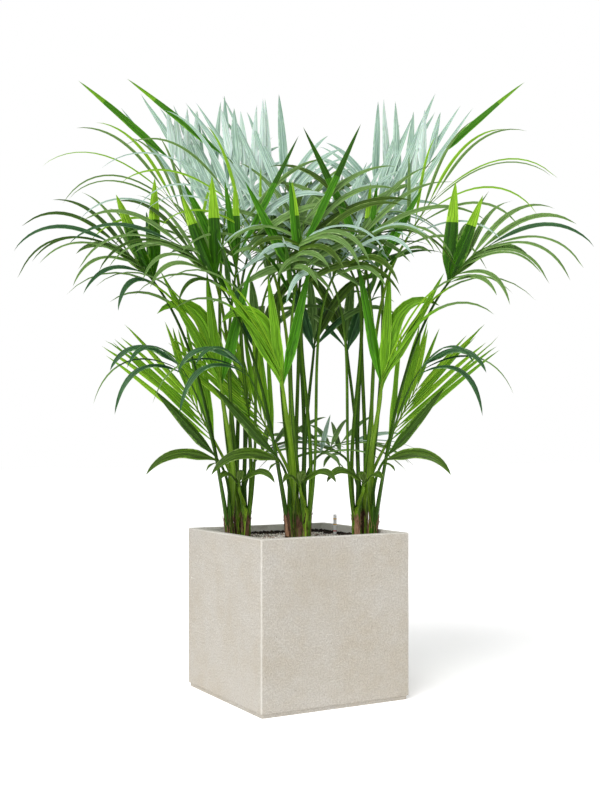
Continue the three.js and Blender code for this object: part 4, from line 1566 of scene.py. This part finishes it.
    def _blade(
        self,
        sheaf: Sheaf,
        line: Line,
        width: float,
        pleats: int,
        varied: tuple[float, float, float],
        slots: tuple[int, int],
        tip_slots: tuple[int, int],
        split: float,
    ) -> None:
        """Adds one leaflet: a thin closed blade, folded down along its middle.

        Args:
            sheaf: the piece it goes into.
            line: its middle line.
            width: its full width.
            pleats: how many folds each half has.
            varied: three numbers from -1 to 1 for its twist, bend and fold.
            slots: the finishes of its upper and under side.
            tip_slots: the same for its tip, where a lighter finish is painted backlight and a darker one
                painted shade.
            split: the share of its length from which it has them.
        """
        rule = self.rule
        half_columns = 2 if pleats == 0 else pleats * 2 + 1
        across = np.linspace(-1, 1, 2 * half_columns + 1)
        steps = len(line.points) - 1
        twist, bend, folded = varied
        length = float(np.linalg.norm(np.diff(line.points, axis=0), axis=1).sum())
        top, under, places = [], [], []
        for k in range(steps):
            u = k / steps
            direction = line.directions[k]
            facing = turned(line.facings[k], direction, twist * rule.twist * u * u)
            right = np.cross(direction, facing)
            half = width * rule.outline(u) / 2
            fold = (rule.fold * (1 + 0.5 * folded)) * DEGREE * (1.3 - 0.9 * u)
            middle = line.points[k] + right * (bend * rule.bend * length * u * u)
            thick = rule.thickness * min(1.0, half / 5) * (1 - 0.5 * u)
            for s in across:
                dip = -abs(s) * half * math.sin(fold)
                if pleats:
                    dip += rule.pleat * half * math.cos(abs(s) * pleats * 2 * math.pi) * (1 - u)
                ripple = rule.ripple * half * abs(s) * math.sin(u * 19 + 6 * bend + 2 * s)
                place = middle + right * (s * half * math.cos(fold)) + facing * (dip + ripple)
                top.append(place)
                under.append(place - facing * (thick * (1 - s * s)))
                places.append(((s + 1) / 2, u))
        columns = len(across)
        aside = np.cross(line.directions[-1], line.facings[-1])
        tip = line.points[-1] + aside * (bend * rule.bend * length)
        count = len(top)
        points = np.array(top + under + [tip])
        uvs = np.array(places + places + [(0.5, 1.0)])
        faces, kinds = [], []
        for k in range(steps - 1):
            # Past the split the tip finishes take over: painted backlight where lighter, painted shade where
            # darker.
            upper_slot, under_slot = slots if k / steps < split else tip_slots
            for j in range(columns - 1):
                a = k * columns + j
                faces.append((a, a + 1, a + 1 + columns, a + columns))
                kinds.append(upper_slot)
                b = a + count
                faces.append((b + columns, b + 1 + columns, b + 1, b))
                kinds.append(under_slot)
        start = (steps - 1) * columns
        for j in range(columns - 1):
            faces.append((start + j, start + j + 1, 2 * count))
            kinds.append(tip_slots[0])
            faces.append((2 * count, start + count + j + 1, start + count + j))
            kinds.append(tip_slots[1])
        points, faces, uvs = self._merge_edges(points, faces, uvs, columns, steps, count)
        kinds.append(slots[1])
        sheaf.add(self.world(points), faces, kinds, uvs, self.clump.mirror < 0)

    @staticmethod
    def _merge_edges(
        points: np.ndarray,
        faces: list[tuple[int, ...]],
        uvs: np.ndarray,
        columns: int,
        steps: int,
        count: int,
    ) -> tuple[np.ndarray, list[tuple[int, ...]], np.ndarray]:
        """Joins the under side's edge points to the upper side's, and closes the root.

        Args:
            points: of the upper side, the under side and the tip.
            faces: between them.
            uvs: the points' places.
            columns: how many points there are across.
            steps: how many stations there are along.
            count: how many points each side has.

        Returns:
            The points, faces and places of the closed blade.
        """
        target = list(range(len(points)))
        for k in range(steps):
            for edge in (0, columns - 1):
                target[count + k * columns + edge] = k * columns + edge
        faces = [tuple(target[i] for i in face) for face in faces]
        root = [j for j in range(columns - 1, -1, -1)] + [count + j for j in range(1, columns - 1)]
        faces.append(tuple(root))
        used = sorted({i for face in faces for i in face})
        new = {old: i for i, old in enumerate(used)}
        faces = [tuple(new[i] for i in face) for face in faces]
        return points[used], faces, uvs[used]


class StalkTone(IntEnum):
    """The finishes of petioles and ribs, by slot number."""

    GREEN = 0
    DARK = 1
    YELLOW = 2


STALK_TONES = {
    **dict.fromkeys(("tall", "bouquet", "plume", "sweep", "under", "high"), StalkTone.GREEN),
    **dict.fromkeys(("wing", "strap", "hook", "side", "back"), StalkTone.DARK),
    **dict.fromkeys(("ribbon", "arcs", "feather", "low"), StalkTone.YELLOW),
}


class Palette:
    """The finishes of blades and stalks, and how they are dealt out."""

    PAIRS = {
        # The pale blue-grey tints are partly the leaflets' own grey-green and partly painted sheen of a waxy
        # surface catching white light.
        "glaucous_painted_sheen": ("#b5cdbf", "#7c9a89", "#b4cabd", 0.4),
        "steel_painted_sheen": ("#a2bcad", "#6b8a7b", "#abc0b3", 0.4),
        # A very pale green that paints backlight glowing through the leaflets and bright highlights on them.
        "mint_painted_backlight": ("#cfe4d9", "#abc6b6", "#cfe2d7", 0.5),
        "deep": ("#2f5f02", "#163700", "#48711f", 0.4),
        "moss": ("#3a5c14", "#243c08", "#5d7a3c", 0.42),
        "leaf": ("#43800c", "#285803", "#5f8f2e", 0.4),
        "bright": ("#70a31f", "#4a780c", "#7fa838", 0.42),
        "lime": ("#8ab92a", "#618c12", "#97ba48", 0.44),
        "teal": ("#3e663c", "#203f24", "#6f9069", 0.4),
        "sage": ("#73944f", "#41602a", "#93ae78", 0.45),
        "olive": ("#4a6819", "#29400a", "#768f4c", 0.42),
    }

    DEALT = {
        "tall": ("glaucous_painted_sheen", "glaucous_painted_sheen", "steel_painted_sheen"),
        "plume": ("mint_painted_backlight", "mint_painted_backlight", "glaucous_painted_sheen"),
        "arcs": ("sage", "lime", "glaucous_painted_sheen"),
        "wing": ("sage", "moss", "teal"),
        "bouquet": ("sage", "olive", "glaucous_painted_sheen"),
        "feather": ("lime", "bright", "bright"),
        "sweep": ("sage", "olive", "glaucous_painted_sheen"),
        "under": ("sage", "glaucous_painted_sheen", "olive"),
        "high": ("glaucous_painted_sheen", "sage", "steel_painted_sheen"),
        "back": ("deep", "olive", "leaf"),
    }

    def __init__(self, effects: Effects) -> None:
        """Builds every finish once."""
        self.blades: list[bpy.types.Material] = []
        self.number: dict[str, tuple[int, int]] = {}
        for name, (top, vein, under, rough) in self.PAIRS.items():
            self.number[name] = (len(self.blades), len(self.blades) + 1)
            upper = BladeFinish(f"blade_{name}", top, vein, rough)
            lower = BladeFinish(f"blade_{name}_under", under, top, rough + 0.12)
            self.blades += [upper.material(effects), lower.material(effects)]
        stalks = (
            StalkFinish("stalk_green", "#305600", "#7aa424"),
            StalkFinish("stalk_dark", "#224200", "#53810e"),
            StalkFinish("stalk_yellow", "#537b00", "#9fc23f"),
        )
        self.stalks = [f.material(effects) for f in stalks]

    def deal(self, frond: str, chance: float) -> tuple[int, int]:
        """The finishes of one leaflet.

        Args:
            frond: the name of its frond.
            chance: a number from -1 to 1.

        Returns:
            Slot numbers of its upper and under side.
        """
        common, second, rare = self.DEALT[frond]
        if chance > 0.6:
            return self.number[rare]
        return self.number[second if chance > 0.1 else common]


# ---------------------------------------------------------------- stems


@dataclass
class Stems:
    """The short stems' fibrous cores, dry leaf bases and fibres.

    husks and fibres are how many a stem has, and their shares how common each of the three finishes is.
    """

    crowns: list[Crown]
    core: float = 9.5
    husks: int = 5
    husk_shares: tuple[float, ...] = (0.5, 0.35, 0.15)
    fibres: int = 46
    fibre_shares: tuple[float, ...] = (0.45, 0.35, 0.2)
    seed: int = 41

    def build(self, effects: Effects) -> None:
        """Makes all stems' cores and their dry dressing."""
        finishes = (
            FibreFinish("fibre_brown", "#6e5138", "#33251a"),
            FibreFinish("fibre_tan", "#b58f74", "#7d5c46"),
            FibreFinish("fibre_dark", "#3a2a1c", "#1c140d"),
        )
        materials = [f.material(effects) for f in finishes]
        cores, husks = Sheaf("stem_cores"), Sheaf("stem_husks")
        rng = np.random.default_rng(self.seed)
        nodes = []
        for crown in self.crowns:
            for name, stem in STEMS.items():
                nodes.append(f"stem_{crown.clump.name}_{name}")
                self._core(cores, crown, stem, rng)
                self._husks(husks, crown, stem, rng)
                self._fibres(husks, crown, stem, rng)
        cores.piece(materials, "stem", nodes, crease=60)
        husks.piece(materials, "stem", crease=60)

    def _core(self, sheaf: Sheaf, crown: Crown, stem: Stem, rng: np.random.Generator) -> None:
        """Adds the fibrous core: a ribbed, tapering body with a rounded top."""
        sides, levels = 24, 12
        rings = []
        phase = rng.uniform(0, 6)
        for k in range(levels + 1):
            t = k / levels
            z = -3 + (stem.height + 3) * t
            radius = self.core * (1.12 - 0.12 * t) * (1 if k < levels else 0.75)
            for i in range(sides):
                angle = i / sides * 2 * math.pi
                ridge = 1 + 0.06 * math.sin(9 * angle + phase + 2 * t) + 0.03 * rng.uniform(-1, 1)
                x = stem.x + stem.lean_x * t + radius * ridge * math.cos(angle)
                y = stem.y + stem.lean_y * t + radius * ridge * math.sin(angle)
                rings.append((x, y, z))
        faces = capped_faces(levels + 1, sides)
        sheaf.add(crown.world(np.array(rings)), faces, 0, None, crown.clump.mirror < 0)

    def _husks(self, sheaf: Sheaf, crown: Crown, stem: Stem, rng: np.random.Generator) -> None:
        """Adds dry, torn leaf bases that wrap part of the stem's foot."""
        for _ in range(self.husks):
            middle = rng.uniform(0, 2 * math.pi)
            spread = rng.uniform(0.35, 0.65)
            height = rng.uniform(24, 88)
            low = rng.uniform(-3, 14)
            radius = crown.rule.ring + rng.uniform(5.0, 8.0)
            columns, rows = 9, 6
            outer, inner = [], []
            for k in range(rows + 1):
                t = k / rows
                for i in range(columns):
                    s = i / (columns - 1) * 2 - 1
                    angle = middle + s * spread * (1 - 0.35 * t)
                    ragged = 1 + (0.22 * rng.uniform(-1, 1) - 0.18 * abs(s)) * t
                    z = low + height * t * ragged
                    lean = min(1.0, max(0.0, z / stem.height))
                    peel = radius - 0.6 * t + 2.4 * t**3 * rng.uniform(0.2, 1)
                    for shell, thick in ((outer, 0.35), (inner, -0.35)):
                        x = stem.x + stem.lean_x * lean + (peel + thick) * math.cos(angle)
                        y = stem.y + stem.lean_y * lean + (peel + thick) * math.sin(angle)
                        shell.append((x, y, z))
            slot = int(rng.choice(len(self.husk_shares), p=self.husk_shares))
            self._shell(sheaf, crown, np.array(outer), np.array(inner), rows + 1, columns, slot)

    @staticmethod
    def _shell(
        sheaf: Sheaf, crown: Crown, outer: np.ndarray, inner: np.ndarray, rows: int, columns: int, slot: int
    ) -> None:
        """Adds a thin closed sheet from its two faces, each a grid of points."""
        count = len(outer)
        faces = loft_faces(rows, columns, closed=False)
        faces += [tuple(i + count for i in face[::-1]) for face in loft_faces(rows, columns, closed=False)]
        border = [j for j in range(columns)]
        border += [k * columns + columns - 1 for k in range(1, rows)]
        border += [(rows - 1) * columns + j for j in range(columns - 2, -1, -1)]
        border += [k * columns for k in range(rows - 2, 0, -1)]
        for k, a in enumerate(border):
            b = border[(k + 1) % len(border)]
            faces.append((a, a + count, b + count, b))
        points = np.concatenate([outer, inner])
        sheaf.add(crown.world(points), faces, slot, None, crown.clump.mirror < 0)

    def _fibres(self, sheaf: Sheaf, crown: Crown, stem: Stem, rng: np.random.Generator) -> None:
        """Adds loose fibres: slim strips that run up the stem and stand off a little at the end."""
        for _ in range(self.fibres):
            angle = rng.uniform(0, 2 * math.pi)
            low = rng.uniform(-2, stem.height * 0.9)
            length = rng.uniform(12, 46)
            width = rng.uniform(0.5, 1.6)
            off = rng.uniform(0.5, 7)
            sway = rng.uniform(-0.5, 0.5)
            steps = 5
            outer, inner = [], []
            for k in range(steps + 1):
                t = k / steps
                turn = angle + sway * t * t
                radius = crown.rule.ring + 6.8 + off * t**3
                z = low + length * t
                lean = min(1.3, max(0.0, z / stem.height))
                half = width * (1 - 0.85 * t)
                centre = np.array([stem.x + stem.lean_x * lean, stem.y + stem.lean_y * lean, z])
                out = np.array([math.cos(turn), math.sin(turn), 0])
                side = np.array([-math.sin(turn), math.cos(turn), 0])
                for sign in (-1, 1):
                    outer.append(centre + out * (radius + 0.25) + side * (half * sign))
                    inner.append(centre + out * (radius - 0.25) + side * (half * sign))
            slot = int(rng.choice(len(self.fibre_shares), p=self.fibre_shares))
            self._shell(sheaf, crown, np.array(outer), np.array(inner), steps + 1, 2, slot)


# ---------------------------------------------------------------- floor, light and camera


@dataclass
class Studio:
    """A plain pale floor, soft light and the camera."""

    lens: float = 49.79
    position: tuple[float, float, float] = (-1.6679, -2.9728, 0.7625)
    heading: float = -29.52
    shift: float = 0.0559
    floor_size: float = 60
    room_light: float = 0.44

    def build(self) -> None:
        """Makes the floor, the lights and the camera."""
        self._camera()
        self._floor()
        self._world()
        self._sun("key", (-0.95, -0.6, 1.15), 40, 2.5)
        self._light("fill", (1.2, -4.6, 1.6), (0, 0, 0.9), 2.6, 12)
        bpy.context.scene.view_settings.view_transform = "Standard"

    def _camera(self) -> None:
        """Places the camera, level, with its frame moved up to hold the whole plant."""
        data = bpy.data.cameras.new("camera")
        data.lens = self.lens
        data.shift_y = self.shift
        camera = bpy.data.objects.new("camera", data)
        camera.location = self.position
        camera.rotation_euler = (math.pi / 2, 0, self.heading * DEGREE)
        bpy.context.scene.collection.objects.link(camera)
        bpy.context.scene.camera = camera

    def _floor(self) -> None:
        """Lays the floor."""
        half = self.floor_size / 2
        mesh = bpy.data.meshes.new("floor")
        points = [(-half, -half, 0), (half, -half, 0), (half, half, 0), (-half, half, 0)]
        mesh.from_pydata(points, [], [(0, 1, 2, 3)])
        material, _, _ = Finish.start(
            "floor_paint",
            Base_Color=(0.97, 0.97, 0.97, 1),
            Emission_Color=(1, 1, 1, 1),
            Emission_Strength=0.3,
            Roughness=0.9,
            Specular_IOR_Level=0.1,
        )
        mesh.materials.append(material)
        floor = bpy.data.objects.new("floor", mesh)
        bpy.context.scene.collection.objects.link(floor)

    def _world(self) -> None:
        """Fills the room with even white light, in front of a plain white wall."""
        world = bpy.data.worlds.new("studio")
        world.use_nodes = True
        tree = world.node_tree
        room = tree.nodes["Background"]
        wall = tree.nodes.new("ShaderNodeBackground")
        path = tree.nodes.new("ShaderNodeLightPath")
        blend = tree.nodes.new("ShaderNodeMixShader")
        room.inputs["Color"].default_value = (1, 1, 1, 1)
        room.inputs["Strength"].default_value = self.room_light
        wall.inputs["Color"].default_value = (1, 1, 1, 1)
        tree.links.new(path.outputs["Is Camera Ray"], blend.inputs["Fac"])
        tree.links.new(room.outputs[0], blend.inputs[1])
        tree.links.new(wall.outputs[0], blend.inputs[2])
        tree.links.new(blend.outputs[0], tree.nodes["World Output"].inputs["Surface"])
        bpy.context.scene.world = world

    @staticmethod
    def _sun(name: str, origin: Sequence[float], spread: float, strength: float) -> None:
        """Adds a soft distant light.

        Args:
            name: of the light.
            origin: the way it comes from.
            spread: its width, in degrees.
            strength: in watts a square metre.
        """
        data = bpy.data.lights.new(name, "SUN")
        data.angle = spread * DEGREE
        data.energy = strength
        light = bpy.data.objects.new(name, data)
        light.rotation_euler = Vector(origin).to_track_quat("Z", "Y").to_euler()
        bpy.context.scene.collection.objects.link(light)

    @staticmethod
    def _light(name: str, place: Sequence[float], target: Sequence[float], size: float, power: float) -> None:
        """Hangs a square soft light.

        Args:
            name: of the light.
            place: where it hangs, in metres.
            target: the point it faces.
            size: its side, in metres.
            power: in watts.
        """
        data = bpy.data.lights.new(name, "AREA")
        data.size = size
        data.energy = power
        light = bpy.data.objects.new(name, data)
        light.location = place
        light.rotation_euler = (Vector(target) - Vector(place)).to_track_quat("-Z", "Y").to_euler()
        bpy.context.scene.collection.objects.link(light)


def main() -> None:
    """Builds the whole part."""
    logging.basicConfig(level=logging.INFO, format="%(message)s")
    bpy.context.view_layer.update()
    effects = Effects()
    Studio().build()
    Planter().build(effects)
    rule = Rule()
    ground = corners("gravel")[1][2]
    crowns = [Crown(clump, rule, ground) for clump in CLUMPS]
    palette = Palette(effects)
    for crown in crowns:
        crown.build(palette)
    Stems(crowns).build(effects)
    feet = [
        (*crown.world(np.array([[stem.x, stem.y, 0.0]]))[0][:2], rule.ring + 6)
        for crown in crowns
        for stem in STEMS.values()
    ]
    Bed(stems=feet).build(effects)
    WaterGauge().build(effects)


if __name__ == "__main__":
    main()
